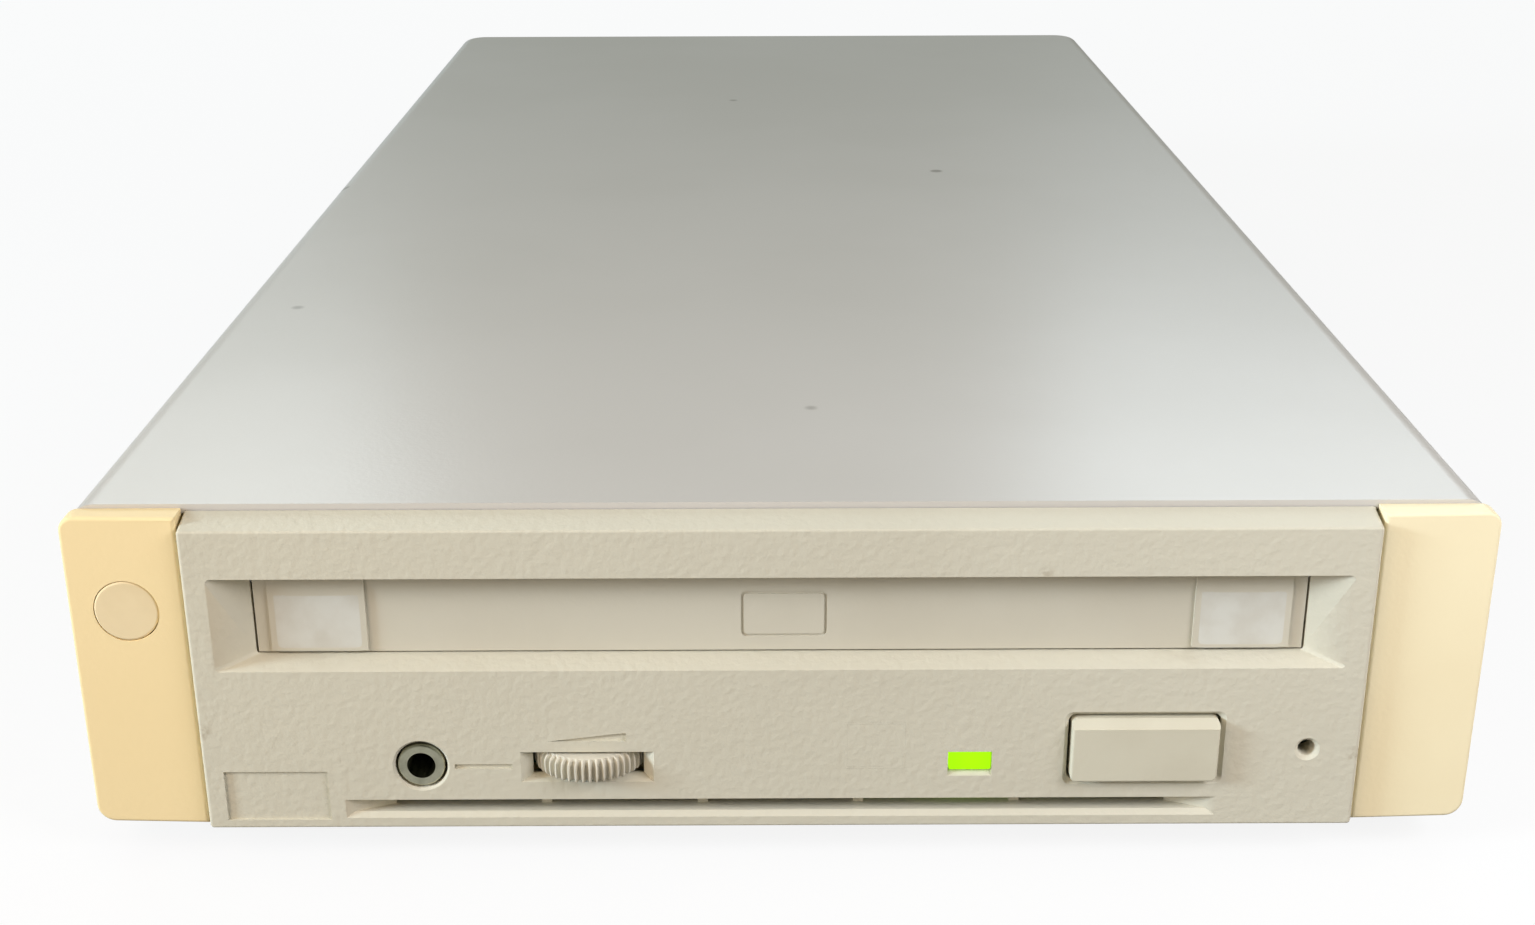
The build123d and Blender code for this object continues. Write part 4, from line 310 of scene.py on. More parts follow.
def paint(finish: "Finish", *nodes: str) -> None:
    """Gives CAD nodes that stay their material.

    Args:
        finish: Finish of their surface.
        nodes: Names of the CAD nodes.
    """
    for node in nodes:
        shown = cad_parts[node]
        if not shown.material_slots:
            shown.data.materials.append(None)
        for place in shown.material_slots:
            place.link = "OBJECT"
            place.material = finish.material()
        LOG.info("%s is painted with %s", node, finish.name)


@dataclass(frozen=True)
class SoftEdges:
    """Copy of a CAD node whose sharp edges get the small radius that moulding or bending leaves.

    Attributes:
        node: CAD node that is copied and replaced.
        slot: Material slot of the record.
        finish: Finish of its surface.
        radius_mm: Width of the rounding.
        body: CAD body that it moves with.
        segments: Faces across the rounding.
        sharp_degrees: Edges that turn by more than this are rounded.
    """

    node: str
    slot: str
    finish: "Finish"
    radius_mm: float
    body: str = "case"
    segments: int = 3
    sharp_degrees: float = 34.0

    def build(self) -> None:
        """Copies the node, joins its loose triangles into flat faces and rounds what is sharp."""
        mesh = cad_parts[self.node].data.copy()
        work = bmesh.new()
        work.from_mesh(mesh)
        bmesh.ops.remove_doubles(work, verts=work.verts, dist=WELD)
        bmesh.ops.dissolve_limit(work, angle_limit=math.radians(FLAT_DEGREES), verts=work.verts,
                                 edges=work.edges)
        work.to_mesh(mesh)
        work.free()
        mesh.shade_smooth()
        made = link(f"{self.node}_soft", mesh)
        bevel = made.modifiers.new("rounded", "BEVEL")
        bevel.width = self.radius_mm * MM
        bevel.segments = self.segments
        bevel.limit_method = "ANGLE"
        bevel.angle_limit = math.radians(self.sharp_degrees)
        made.modifiers.new("flat_faces", "WEIGHTED_NORMAL").weight = FLAT_WEIGHT
        dress(made, self.body, self.slot, self.finish, self.node)


# Finishes


@dataclass(frozen=True)
class Spot:
    """Soft round mark on a surface, such as a smudge or a scuff.

    Attributes:
        place: Its middle in millimetres.
        reach: Its radius in millimetres.
        strength: How much of the shade colour it shows, from 0 to 1.
    """

    place: Triple
    reach: float
    strength: float


@dataclass(frozen=True)
class Region:
    """Box in millimetres that marks a part of a surface, such as where its second finish shows.

    Attributes:
        low: Its lowest corner.
        high: Its highest corner.
    """

    low: Triple
    high: Triple

    def mask(self, tree: Tree, vector: Socket) -> Wire:
        """1 inside the box and 0 outside.

        Args:
            tree: Node tree.
            vector: Coordinates in metres.

        Returns:
            Product of three tests, one for each axis.
        """
        split = add(tree, Kind.SPLIT, {0: vector})
        tests = [add(tree, Kind.MATH, {0: split.outputs[axis], 1: (low + high) / 2 * MM,
                                       2: (high - low) / 2 * MM}, operation="COMPARE")
                 for axis, (low, high) in enumerate(zip(self.low, self.high))]
        flat = add(tree, Kind.MATH, {0: tests[0], 1: tests[1]}, operation="MULTIPLY")
        return add(tree, Kind.MATH, {0: flat, 1: tests[2]}, operation="MULTIPLY")


def panel_region(middle: Pair, half: Pair, inside: float, outside: float) -> Region:
    """Box round a socket in the rear panel.

    Args:
        middle: X and Z of its middle.
        half: Half its width and height.
        inside: How far it reaches into the case from the panel's face.
        outside: How far it stands out of the panel.

    Returns:
        The box.
    """
    return Region((middle[0] - half[0], deep(PANEL_FACE - inside), middle[1] - half[1]),
                  (middle[0] + half[0], deep(PANEL_FACE + outside), middle[1] + half[1]))


@dataclass(frozen=True)
class Finish:
    """A surface: what it is made of and how it was made.

    Attributes:
        name: The material's common name and how its surface was made.
        colour: sRGB hex of the clean surface.
        shade: sRGB hex that shows in soft patches and spots, from handling, dust or age; ribbed
        finishes also use it as painted shade in their valleys.
        patch_mm: Size of the soft patches.
        patch_share: How much of the shade the patches show at most.
        roughness: Middle roughness.
        roughness_spread: How far the patches move the roughness.
        grain_mm: Size of the fine surface grain.
        grain_height_mm: Height of that grain.
        metallic: 1 for bare metal.
        specular: Specular level; half is the usual plastic or paint.
        coat: Weight of a clear coat.
        spots: Marks in their own places.
        patch_edges: Levels of the noise between which a patch fades in.
        mark_edges: The same for the broken edge of a spot.
        broken_detail: Octaves of finer detail in patches and spots.
    """

    name: str
    colour: str
    shade: str
    patch_mm: float = 45.0
    patch_share: float = 0.35
    roughness: float = 0.5
    roughness_spread: float = 0.08
    grain_mm: float = 0.6
    grain_height_mm: float = 0.01
    metallic: float = 0.0
    specular: float = 0.5
    coat: float = 0.0
    spots: tuple[Spot, ...] = ()
    patch_edges: Pair = (0.38, 0.68)
    mark_edges: Pair = (0.35, 0.65)
    broken_detail: float = 4.0

    def wear(self, tree: Tree, vector: Socket) -> Wire:
        """How much of the shade shows: soft patches, and the finish's own spots on top.

        Args:
            tree: Node tree.
            vector: Coordinates in metres.

        Returns:
            Share from 0 to 1.
        """
        noise = add(tree, Kind.NOISE, {"Vector": vector, "Scale": scale(self.patch_mm),
                                       "Detail": self.broken_detail})
        share = add(tree, Kind.RANGE, {"Value": noise, "From Min": self.patch_edges[0],
                                       "From Max": self.patch_edges[1],
                                       "To Max": self.patch_share}, **SMOOTH)
        for spot in self.spots:
            away = add(tree, Kind.VECTORS, {0: vector, 1: metres(spot.place)},
                       operation="DISTANCE")
            near = add(tree, Kind.RANGE, {"Value": away, "From Min": spot.reach * MM,
                                          "From Max": 0.0, "To Max": spot.strength}, **SMOOTH)
            noise = add(tree, Kind.NOISE, {"Vector": vector, "Scale": scale(spot.reach / 2),
                                           "Detail": self.broken_detail})
            broken = add(tree, Kind.RANGE, {"Value": noise, "From Min": self.mark_edges[0],
                                            "From Max": self.mark_edges[1]}, **SMOOTH)
            mark = add(tree, Kind.MATH, {0: near, 1: broken}, operation="MULTIPLY")
            share = add(tree, Kind.MATH, {0: share, 1: mark}, operation="MAXIMUM")
        return share

    def pattern(self, tree: Tree, vector: Socket) -> dict[Channel, Wire]:
        """Everything that varies over the surface: worn colour, roughness and fine grain.

        Args:
            tree: Node tree.
            vector: Coordinates in metres.

        Returns:
            What feeds each channel; height is in metres.
        """
        share = self.wear(tree, vector)
        grain = add(tree, Kind.NOISE, {"Vector": vector, "Scale": scale(self.grain_mm)})
        return {
            Channel.COLOUR: add(tree, Kind.MIX, {0: share, 6: linear(self.colour),
                                                 7: linear(self.shade)}, **COLOURS),
            Channel.ROUGHNESS: add(tree, Kind.RANGE, {
                "Value": share, "To Min": self.roughness,
                "To Max": self.roughness + self.roughness_spread}, **SMOOTH),
            Channel.METALLIC: self.metallic,
            Channel.HEIGHT: add(tree, Kind.MATH, {0: grain, 1: self.grain_height_mm * MM},
                                operation="MULTIPLY"),
        }

    def material(self) -> bpy.types.Material:
        """The finish as a node material, made once and then shared.

        Returns:
            The material.
        """
        known = bpy.data.materials.get(self.name)
        if known is not None:
            return known
        made = blank_material(self.name)
        made.diffuse_color = linear(self.colour)
        tree = made.node_tree
        vector = add(tree, Kind.COORDS).outputs["Object"]
        inputs = {channel.value: wire for channel, wire in self.pattern(tree, vector).items()}
        inputs["Normal"] = add(tree, Kind.BUMP, {"Height": inputs.pop(Channel.HEIGHT.value),
                                                 "Strength": 1.0, "Distance": 1.0})
        shader = add(tree, Kind.PRINCIPLED, {**inputs, **self.shader_inputs()})
        add(tree, Kind.SURFACE, {"Surface": shader})
        return made

    def shader_inputs(self) -> dict[str, object]:
        """Plain numbers and colours that are set on the shader itself.

        Returns:
            Input names with their values; a metal keeps the default specular level.
        """
        inputs: dict[str, object] = {"Coat Weight": self.coat}
        if not self.metallic:
            inputs["Specular IOR Level"] = self.specular
        return inputs


@dataclass(frozen=True)
class SparkTexture(Finish):
    """Plastic from a spark-eroded mould: a fine pebbled grain that scatters highlights.

    Attributes:
        pebble_share: How much of the height is round pebbles rather than soft noise.
        pebble_pitch: Distance between pebbles as a multiple of the grain.
        outline: Box whose edge shows as a faint raised line, or None.
        line_mm: Width of that line.
        line_height_mm: Its height.
    """

    pebble_share: float = 0.6
    pebble_pitch: float = 1.3
    outline: Region | None = None
    line_mm: float = 0.3
    line_height_mm: float = 0.036

    def pattern(self, tree: Tree, vector: Socket) -> dict[Channel, Wire]:
        """Adds pebbles to the grain, and the faint outline where there is one.

        Args:
            tree: Node tree.
            vector: Coordinates in metres.

        Returns:
            What feeds each channel.
        """
        found = super().pattern(tree, vector)
        cells = add(tree, Kind.CELLS, {"Vector": vector,
                                       "Scale": scale(self.grain_mm * self.pebble_pitch)},
                    feature="SMOOTH_F1")
        found[Channel.HEIGHT] = add(
            tree, Kind.MATH, {0: cells, 1: -self.pebble_share * self.grain_height_mm * MM,
                              2: found[Channel.HEIGHT]}, operation="MULTIPLY_ADD")
        if self.outline is not None:
            low, high, line = self.outline.low, self.outline.high, self.line_mm
            inner = Region((low[0] + line, low[1], low[2] + line),
                           (high[0] - line, high[1], high[2] - line))
            edge = add(tree, Kind.MATH, {0: self.outline.mask(tree, vector),
                                         1: inner.mask(tree, vector)}, operation="SUBTRACT")
            found[Channel.HEIGHT] = add(
                tree, Kind.MATH, {0: edge, 1: self.line_height_mm * MM,
                                  2: found[Channel.HEIGHT]}, operation="MULTIPLY_ADD")
        return found


@dataclass(frozen=True)
class AgedPlastic(SparkTexture):
    """Styrene plastic that has yellowed: deeper towards one side and the bottom.

    Attributes:
        deep_colour: sRGB hex of the most yellowed plastic.
        deep_share: How much of it shows at the deepest place.
        pale: Place in millimetres where the plastic is palest.
        strong: Place in millimetres where it is deepest.
    """

    deep_colour: str = "#F0D6A0"
    deep_share: float = 0.75
    pale: Triple = (80.0, -175.0, 45.0)
    strong: Triple = (-84.0, -175.0, 8.0)

    def pattern(self, tree: Tree, vector: Socket) -> dict[Channel, Wire]:
        """Adds a slow change of colour along the line from the pale to the deep place.

        Args:
            tree: Node tree.
            vector: Coordinates in metres.

        Returns:
            What feeds each channel.
        """
        found = super().pattern(tree, vector)
        line = Vector(self.strong) - Vector(self.pale)
        way = line.normalized()
        start = Vector(self.pale).dot(way) * MM
        along = add(tree, Kind.VECTORS, {0: vector, 1: tuple(way)}, operation="DOT_PRODUCT")
        share = add(tree, Kind.RANGE, {"Value": along, "From Min": start,
                                       "From Max": start + line.length * MM,
                                       "To Max": self.deep_share}, **SMOOTH)
        found[Channel.COLOUR] = add(tree, Kind.MIX, {0: share, 6: found[Channel.COLOUR],
                                                     7: linear(self.deep_colour)}, **COLOURS)
        return found


@dataclass(frozen=True)
class SatinPaint(Finish):
    """Baked satin enamel on steel: fine pimples over a slow waviness, with a few dust specks.

    Attributes:
        wave_mm: Length of the sheet's slow waves.
        wave_height_mm: Their height.
        speck_mm: Spacing of dark specks of dust; 0 leaves them out.
        speck_edges: Share of the spacing at which a speck begins and is full.
        speck_share: How dark a speck is.
        speck_colour: sRGB hex of the dust.
    """

    wave_mm: float = 60.0
    wave_height_mm: float = 0.02
    speck_mm: float = 0.0
    speck_edges: Pair = (0.03, 0.015)
    speck_share: float = 0.55
    speck_colour: str = "#5C564C"

    def pattern(self, tree: Tree, vector: Socket) -> dict[Channel, Wire]:
        """Adds the waves of the sheet to the height and the specks to the colour.

        Args:
            tree: Node tree.
            vector: Coordinates in metres.

        Returns:
            What feeds each channel.
        """
        found = super().pattern(tree, vector)
        waves = add(tree, Kind.NOISE, {"Vector": vector, "Scale": scale(self.wave_mm),
                                       "Detail": 1.0})
        found[Channel.HEIGHT] = add(tree, Kind.MATH, {0: waves, 1: self.wave_height_mm * MM,
                                                      2: found[Channel.HEIGHT]},
                                    operation="MULTIPLY_ADD")
        if self.speck_mm:
            cells = add(tree, Kind.CELLS, {"Vector": vector, "Scale": scale(self.speck_mm)})
            speck = add(tree, Kind.RANGE, {"Value": cells, "From Min": self.speck_edges[0],
                                           "From Max": self.speck_edges[1],
                                           "To Max": self.speck_share}, **SMOOTH)
            found[Channel.COLOUR] = add(tree, Kind.MIX, {0: speck, 6: found[Channel.COLOUR],
                                                         7: linear(self.speck_colour)}, **COLOURS)
        return found


@dataclass(frozen=True)
class DrawnMetal(Finish):
    """Bare metal that was brushed, ground or drawn: hair-fine lines along one direction.

    Attributes:
        along: Direction of the lines.
        line_mm: Spacing of the lines.
        stretch: How many times longer than wide a line is.
        line_edges: Levels of the noise between which the roughness changes.
    """

    metallic: float = 1.0
    along: Axis = Axis.Y
    line_mm: float = 0.25
    stretch: float = 60.0
    line_edges: Pair = (0.3, 0.7)

    def pattern(self, tree: Tree, vector: Socket) -> dict[Channel, Wire]:
        """Stretches the grain along the lines.

        Args:
            tree: Node tree.
            vector: Coordinates in metres.

        Returns:
            What feeds each channel.
        """
        found = super().pattern(tree, vector)
        sizes = [1.0, 1.0, 1.0]
        sizes[self.along.value] = 1 / self.stretch
        stretched = add(tree, Kind.MAPPING, {"Vector": vector, "Scale": tuple(sizes)})
        lines = add(tree, Kind.NOISE, {"Vector": stretched, "Scale": scale(self.line_mm)})
        found[Channel.HEIGHT] = add(tree, Kind.MATH, {0: lines, 1: self.grain_height_mm * MM},
                                    operation="MULTIPLY")
        found[Channel.ROUGHNESS] = add(tree, Kind.RANGE, {
            "Value": lines, "From Min": self.line_edges[0], "From Max": self.line_edges[1],
            "To Min": self.roughness, "To Max": self.roughness + self.roughness_spread}, **SMOOTH)
        return found


@dataclass(frozen=True)
class ZincPlate(Finish):
    """Hot-dipped zinc on steel: flat crystals a few millimetres across, each a little different.

    Attributes:
        crystal_mm: Size of a crystal.
    """

    metallic: float = 1.0
    crystal_mm: float = 6.0

    def pattern(self, tree: Tree, vector: Socket) -> dict[Channel, Wire]:
        """Gives each crystal its own brightness and roughness.

        Args:
            tree: Node tree.
            vector: Coordinates in metres.

        Returns:
            What feeds each channel.
        """
        found = super().pattern(tree, vector)
        cells = add(tree, Kind.CELLS, {"Vector": vector, "Scale": scale(self.crystal_mm)})
        split = add(tree, Kind.SPLIT_COLOUR, {0: cells.outputs["Color"]})
        found[Channel.COLOUR] = add(tree, Kind.MIX, {
            0: split.outputs[0], 6: linear(self.colour), 7: linear(self.shade)}, **COLOURS)
        found[Channel.ROUGHNESS] = add(tree, Kind.RANGE, {
            "Value": split.outputs[1], "To Min": self.roughness,
            "To Max": self.roughness + self.roughness_spread}, **SMOOTH)
        return found


@dataclass(frozen=True)
class CircuitBoard(Finish):
    """Glass-epoxy board under green lacquer: copper tracks show as paler raised lines.

    Attributes:
        track_mm: Spacing of the tracks.
        track_share: How much of the track's colour shows through the lacquer.
        track_height_mm: Height of tracks and pads.
        track_colour: sRGB hex of copper under lacquer.
        pad_colour: sRGB hex of a tinned pad.
        pad_edges: Share of the pads' spacing at which a pad begins and is full.
    """

    track_mm: float = 2.6
    track_share: float = 0.6
    track_height_mm: float = 0.04
    track_colour: str = "#3E8A55"
    pad_colour: str = "#B9BBB4"
    pad_edges: Pair = (0.24, 0.2)

    def pattern(self, tree: Tree, vector: Socket) -> dict[Channel, Wire]:
        """Adds stepped tracks, as the edges of stretched bricks, and round tinned pads.

        Args:
            tree: Node tree.
            vector: Coordinates in metres.

        Returns:
            What feeds each channel.
        """
        found = super().pattern(tree, vector)
        black, white = (0, 0, 0, 1), (1, 1, 1, 1)
        tracks = add(tree, Kind.BRICKS, {
            "Vector": vector, "Scale": scale(self.track_mm), "Mortar Size": 0.12,
            "Brick Width": 3.5, "Row Height": 0.9, "Color1": black, "Color2": black,
            "Mortar": white}).outputs["Fac"]
        pads = add(tree, Kind.CELLS, {"Vector": vector, "Scale": scale(self.track_mm) * 0.7,
                                      "Randomness": 0.35})
        dots = add(tree, Kind.RANGE, {"Value": pads, "From Min": self.pad_edges[0],
                                      "From Max": self.pad_edges[1]}, **SMOOTH)
        share = add(tree, Kind.MATH, {0: tracks, 1: self.track_share}, operation="MULTIPLY")
        lined = add(tree, Kind.MIX, {0: share, 6: found[Channel.COLOUR],
                                     7: linear(self.track_colour)}, **COLOURS)
        found[Channel.COLOUR] = add(tree, Kind.MIX, {0: dots, 6: lined,
                                                     7: linear(self.pad_colour)}, **COLOURS)
        raised = add(tree, Kind.MATH, {0: tracks, 1: dots}, operation="ADD")
        found[Channel.HEIGHT] = add(tree, Kind.MATH, {0: raised, 1: self.track_height_mm * MM},
                                    operation="MULTIPLY")
        return found


@dataclass(frozen=True)
class LaidRibs(Finish):
    """Surface with even parallel ribs, such as the wires of a flat cable or a cable's sleeve, with
    painted shade in the valleys between them.

    Attributes:
        across: Direction in which the ribs follow one another.
        rib_mm: Distance from rib to rib.
        rib_height_mm: Height of a rib.
        valley: Height, as a share of a rib's, at which the painted shade of the valley ends.
    """

    across: Axis = Axis.X
    rib_mm: float = 1.27
    rib_height_mm: float = 0.3
    valley: float = 0.35

    def pattern(self, tree: Tree, vector: Socket) -> dict[Channel, Wire]:
        """Adds a rounded wave, the absolute sine of the distance across, and paints shade into its
        valleys.

        Args:
            tree: Node tree.
            vector: Coordinates in metres.

        Returns:
            What feeds each channel.
        """
        found = super().pattern(tree, vector)
        split = add(tree, Kind.SPLIT, {0: vector})
        turn = add(tree, Kind.MATH, {0: split.outputs[self.across.value],
                                     1: math.pi * scale(self.rib_mm)}, operation="MULTIPLY")
        sine = add(tree, Kind.MATH, {0: turn}, operation="SINE")
        wave = add(tree, Kind.MATH, {0: sine}, operation="ABSOLUTE")
        # painted shade: the valleys between ribs take the darker shade colour
        share = add(tree, Kind.RANGE, {"Value": wave, "From Max": self.valley}, **SMOOTH)
        found[Channel.HEIGHT] = add(tree, Kind.MATH, {0: wave, 1: self.rib_height_mm * MM},
                                    operation="MULTIPLY")
        found[Channel.COLOUR] = add(tree, Kind.MIX, {0: share, 6: linear(self.shade),
                                                     7: found[Channel.COLOUR]}, **COLOURS)
        return found


@dataclass(frozen=True)
class LitLens(Finish):
    """Clear green acrylic over a lit diode: it glows, more in its middle than at its ends.

    Attributes:
        glow: sRGB hex of the light.
        levels: Brightness of the glow at its ends and in its middle.
        middle: Place in millimetres of the diode behind it.
        reach_mm: Distance at which the glow has faded.
    """

    glow: str = "#B7FF00"
    levels: Pair = (0.86, 0.96)
    middle: Triple = (24.2, -176.8, 14.5)
    reach_mm: float = 3.2

    def pattern(self, tree: Tree, vector: Socket) -> dict[Channel, Wire]:
        """Adds the glow, brighter near the diode, to the plain plastic.

        Args:
            tree: Node tree.
            vector: Coordinates in metres.

        Returns:
            What feeds each channel.
        """
        found = super().pattern(tree, vector)
        away = add(tree, Kind.VECTORS, {0: vector, 1: metres(self.middle)}, operation="DISTANCE")
        found[Channel.GLOW] = add(tree, Kind.RANGE, {
            "Value": away, "From Min": self.reach_mm * MM, "From Max": 0.0,
            "To Min": self.levels[0], "To Max": self.levels[1]}, **SMOOTH)
        return found

    def shader_inputs(self) -> dict[str, object]:
        """The plain plastic's values with the colour of the light."""
        return {**super().shader_inputs(), "Emission Color": linear(self.glow)}


@dataclass(frozen=True)
class ClearOptic(Finish):
    """Polished optical glass or acrylic with a faint bluish coating.

    Attributes:
        clear: How much of the light it lets through.
        bending: Its index of refraction.
    """

    clear: float = 0.85
    bending: float = 1.5

    def shader_inputs(self) -> dict[str, object]:
        """The plain surface's values, with most of the light let through."""
        return {**super().shader_inputs(), "Transmission Weight": self.clear,
                "IOR": self.bending}


@dataclass(frozen=True, kw_only=True)
class Parted(Finish):
    """Surface of one node made of a plastic and a metal, such as a plastic shell round blades.

    Attributes:
        main: Finish outside the regions.
        other: Finish inside them.
        regions: Where the other finish shows.
    """

    main: Finish
    other: Finish
    regions: tuple[Region, ...]

    def pattern(self, tree: Tree, vector: Socket) -> dict[Channel, Wire]:
        """Mixes every channel of the two finishes by the regions.

        Args:
            tree: Node tree.
            vector: Coordinates in metres.

        Returns:
            What feeds each channel.
        """
        first, second = self.main.pattern(tree, vector), self.other.pattern(tree, vector)
        share, *others = [region.mask(tree, vector) for region in self.regions]
        for mask in others:
            share = add(tree, Kind.MATH, {0: share, 1: mask}, operation="MAXIMUM")
        found = {channel: add(tree, Kind.MIX, {0: share, 2: first[channel], 3: second[channel]})
                 for channel in (Channel.ROUGHNESS, Channel.METALLIC, Channel.HEIGHT)}
        found[Channel.COLOUR] = add(tree, Kind.MIX, {0: share, 6: first[Channel.COLOUR],
                                                     7: second[Channel.COLOUR]}, **COLOURS)
        return found


# The real grain of moulded plastic and paint is 0.1 to 0.3 mm, too fine to show at a quarter of a
# millimetre to the pixel, so grains here are drawn 0.5 to 0.9 mm wide and suitably shallow.

# Matt warm grey with an even sparkle; three small scuffs show where hands and boxes touched it.
BEZEL_PLASTIC = SparkTexture(
    "styrene_spark_textured", "#CFCAB8", "#A79B84", patch_mm=38.0, patch_share=0.10,
    roughness=0.50, grain_mm=0.85, grain_height_mm=0.075,
    spots=(Spot((-72.5, -176.9, 19.0), 1.5, 0.8), Spot((72.5, -176.9, 15.2), 1.6, 0.8),
           # the last four spots are larger, softer darker patches along the bottom of the door's
           # recess
           Spot((32.4, -176.9, 40.3), 1.6, 0.5), Spot((-40.0, -174.5, 27.9), 9.0, 0.1),
           Spot((50.0, -174.0, 28.3), 5.0, 0.22), Spot((-58.0, -174.0, 28.3), 6.0, 0.15),
           Spot((10.0, -174.4, 28.0), 14.0, 0.12)),
    outline=Region((8.1, -178.0, 13.4), (15.7, -175.0, 20.0)))
# A little smoother than the bezel round it, polished by fingers.
BUTTON_PLASTIC = SparkTexture(
    "styrene_button_moulded", "#CFCAB6", "#B4AA94", patch_mm=14.0, patch_share=0.2,
    roughness=0.44, grain_mm=0.6, grain_height_mm=0.025)
# Fine grain with a soft sheen along its length.
DOOR_PLASTIC = SparkTexture(
    "styrene_door_moulded", "#CAC5B5", "#ADA38E", patch_mm=30.0, patch_share=0.2, roughness=0.40,
    grain_mm=0.7, grain_height_mm=0.02)
# Glossy and slightly wavy, so it mirrors the lamps in soft patches.
PAD_PLASTIC = Finish(
    "acrylic_pad_polished", "#D0CFC6", "#B9B2A2", patch_mm=5.0, patch_share=0.4, roughness=0.17,
    roughness_spread=0.12, grain_mm=2.4, grain_height_mm=0.03, coat=0.3)
# Matt and creamy, yellower towards the lower left, where daylight has aged it most.
CHEEK_PLASTIC = AgedPlastic(
    "styrene_cheek_yellowed", "#F6E9C4", "#DCC294", patch_mm=30.0, patch_share=0.12,
    roughness=0.55, grain_mm=0.6, grain_height_mm=0.022)
# Smooth against the cheek's grain, so the round place reads as an inlay.
BADGE_PLASTIC = Finish(
    "styrene_badge_smooth", "#E9D6AE", "#CDB488", patch_mm=6.0, patch_share=0.2, roughness=0.3,
    grain_mm=1.2, grain_height_mm=0.006)
# Satin with broad soft reflections and a few dust specks.
COVER_PAINT = SatinPaint(
    "baked_enamel_satin_cover", "#C7C3BD", "#B7B3AB", patch_mm=70.0, patch_share=0.25,
    roughness=0.28, roughness_spread=0.05, grain_mm=0.7, grain_height_mm=0.016, speck_mm=55.0)
# Duller and darker than the cover, as on an underside.
PAN_PAINT = SatinPaint(
    "baked_enamel_satin_pan", "#B3AFA5", "#96918A", patch_mm=60.0, patch_share=0.4, roughness=0.45,
    grain_mm=0.8, grain_height_mm=0.02)
# The same enamel on the rear panel, handled more and slightly mottled.
PANEL_PAINT = SatinPaint(
    "baked_enamel_satin_panel", "#B9B6AC", "#9B968B", patch_mm=40.0, patch_share=0.35,
    roughness=0.42, grain_mm=0.7, grain_height_mm=0.018)
# Pale and waxy, with soft highlights on every rib.
WHEEL_PLASTIC = Finish(
    "acetal_wheel_moulded", "#D8D2C2", "#B5AD9B", patch_mm=4.0, patch_share=0.2, roughness=0.42,
    grain_mm=0.5, grain_height_mm=0.008)
# Nearly black with a grey bloom.
PLASTIC_BLACK = SparkTexture(
    "phenolic_black_moulded", "#17171A", "#2A2A2B", patch_mm=12.0, patch_share=0.5, roughness=0.38,
    grain_mm=0.6, grain_height_mm=0.012)
# Deep blue and evenly matt.
PLASTIC_BLUE = SparkTexture(
    "polyester_core_moulded", "#2B3D63", "#1F2C49", patch_mm=9.0, patch_share=0.4, roughness=0.42,
    grain_mm=0.5, grain_height_mm=0.01)
# Dull black that takes dust.
RUBBER = Finish(
    "nitrile_rubber_moulded", "#1C1C1D", "#33322F", patch_mm=6.0, patch_share=0.6, roughness=0.78,
    grain_mm=0.5, grain_height_mm=0.03)
# A little paler and smoother than the feet.
SOFT_RUBBER = Finish(
    "silicone_rubber_soft", "#26272A", "#3A3A3C", patch_mm=5.0, patch_share=0.5, roughness=0.62,
    grain_mm=0.5, grain_height_mm=0.02)
# Bluish bright heads with turning lines.
SCREW_STEEL = DrawnMetal(
    "zinc_plated_screw_steel", "#B7B6AE", "#8E8C82", patch_mm=3.0, roughness=0.28,
    roughness_spread=0.18, grain_height_mm=0.006, line_mm=0.18)
# Bright, with hair lines along the pin.
PIN_STEEL = DrawnMetal(
    "ground_pin_steel", "#C4C5C6", "#A2A3A4", patch_mm=5.0, roughness=0.2, roughness_spread=0.14,
    grain_height_mm=0.004, along=Axis.X, line_mm=0.15)
# Almost a mirror, as a sliding rail has to be.
RAIL_STEEL = DrawnMetal(
    "ground_rail_steel", "#C8C9CA", "#A5A6A8", patch_mm=5.0, roughness=0.14, roughness_spread=0.12,
    grain_height_mm=0.003, line_mm=0.15)
# Warm bright metal with soft reflections.
PLATED = DrawnMetal(
    "nickel_plated_drawn", "#CDCDB6", "#9A9A84", patch_mm=2.0, patch_share=0.4, roughness=0.3,
    roughness_spread=0.2, grain_height_mm=0.002, line_mm=0.3)
# Grey sheen with upright draw lines round the can.
MOTOR_CAN = DrawnMetal(
    "drawn_can_steel", "#A9AAAC", "#838486", patch_mm=6.0, roughness=0.3, roughness_spread=0.16,
    grain_height_mm=0.006, along=Axis.Z)
# Bright wire with a fine drawn line.
SPRING_WIRE = DrawnMetal(
    "drawn_spring_wire", "#C2C2C0", "#98978F", patch_mm=3.0, roughness=0.24, roughness_spread=0.15,
    grain_height_mm=0.004, along=Axis.Z, line_mm=0.12)
# Warm yellow glint on each contact.
CONTACT_GOLD = DrawnMetal(
    "gold_flashed_contact", "#C9A75C", "#A98A48", patch_mm=2.0, roughness=0.22,
    roughness_spread=0.14, grain_height_mm=0.003, line_mm=0.15)
# Patchwork of greyish crystals that flash one by one.
ZINC = ZincPlate(
    "hot_dipped_zinc", "#B4B8BA", "#94999C", patch_mm=20.0, roughness=0.32, roughness_spread=0.2,
    grain_mm=0.8, grain_height_mm=0.006, crystal_mm=7.0)
# The same at a smaller size, a shade warmer.
SHELL_METAL = ZincPlate(
    "tin_plated_shell", "#BFBDB3", "#9C988B", patch_mm=10.0, roughness=0.28, roughness_spread=0.16,
    grain_mm=0.5, grain_height_mm=0.004, crystal_mm=2.5)
# Sandy grey skin, half dull.
CAST_ALLOY = Finish(
    "die_cast_alloy", "#8E9296", "#6F7276", patch_mm=16.0, patch_share=0.6, roughness=0.5,
    roughness_spread=0.15, grain_mm=0.9, grain_height_mm=0.03, metallic=1.0)
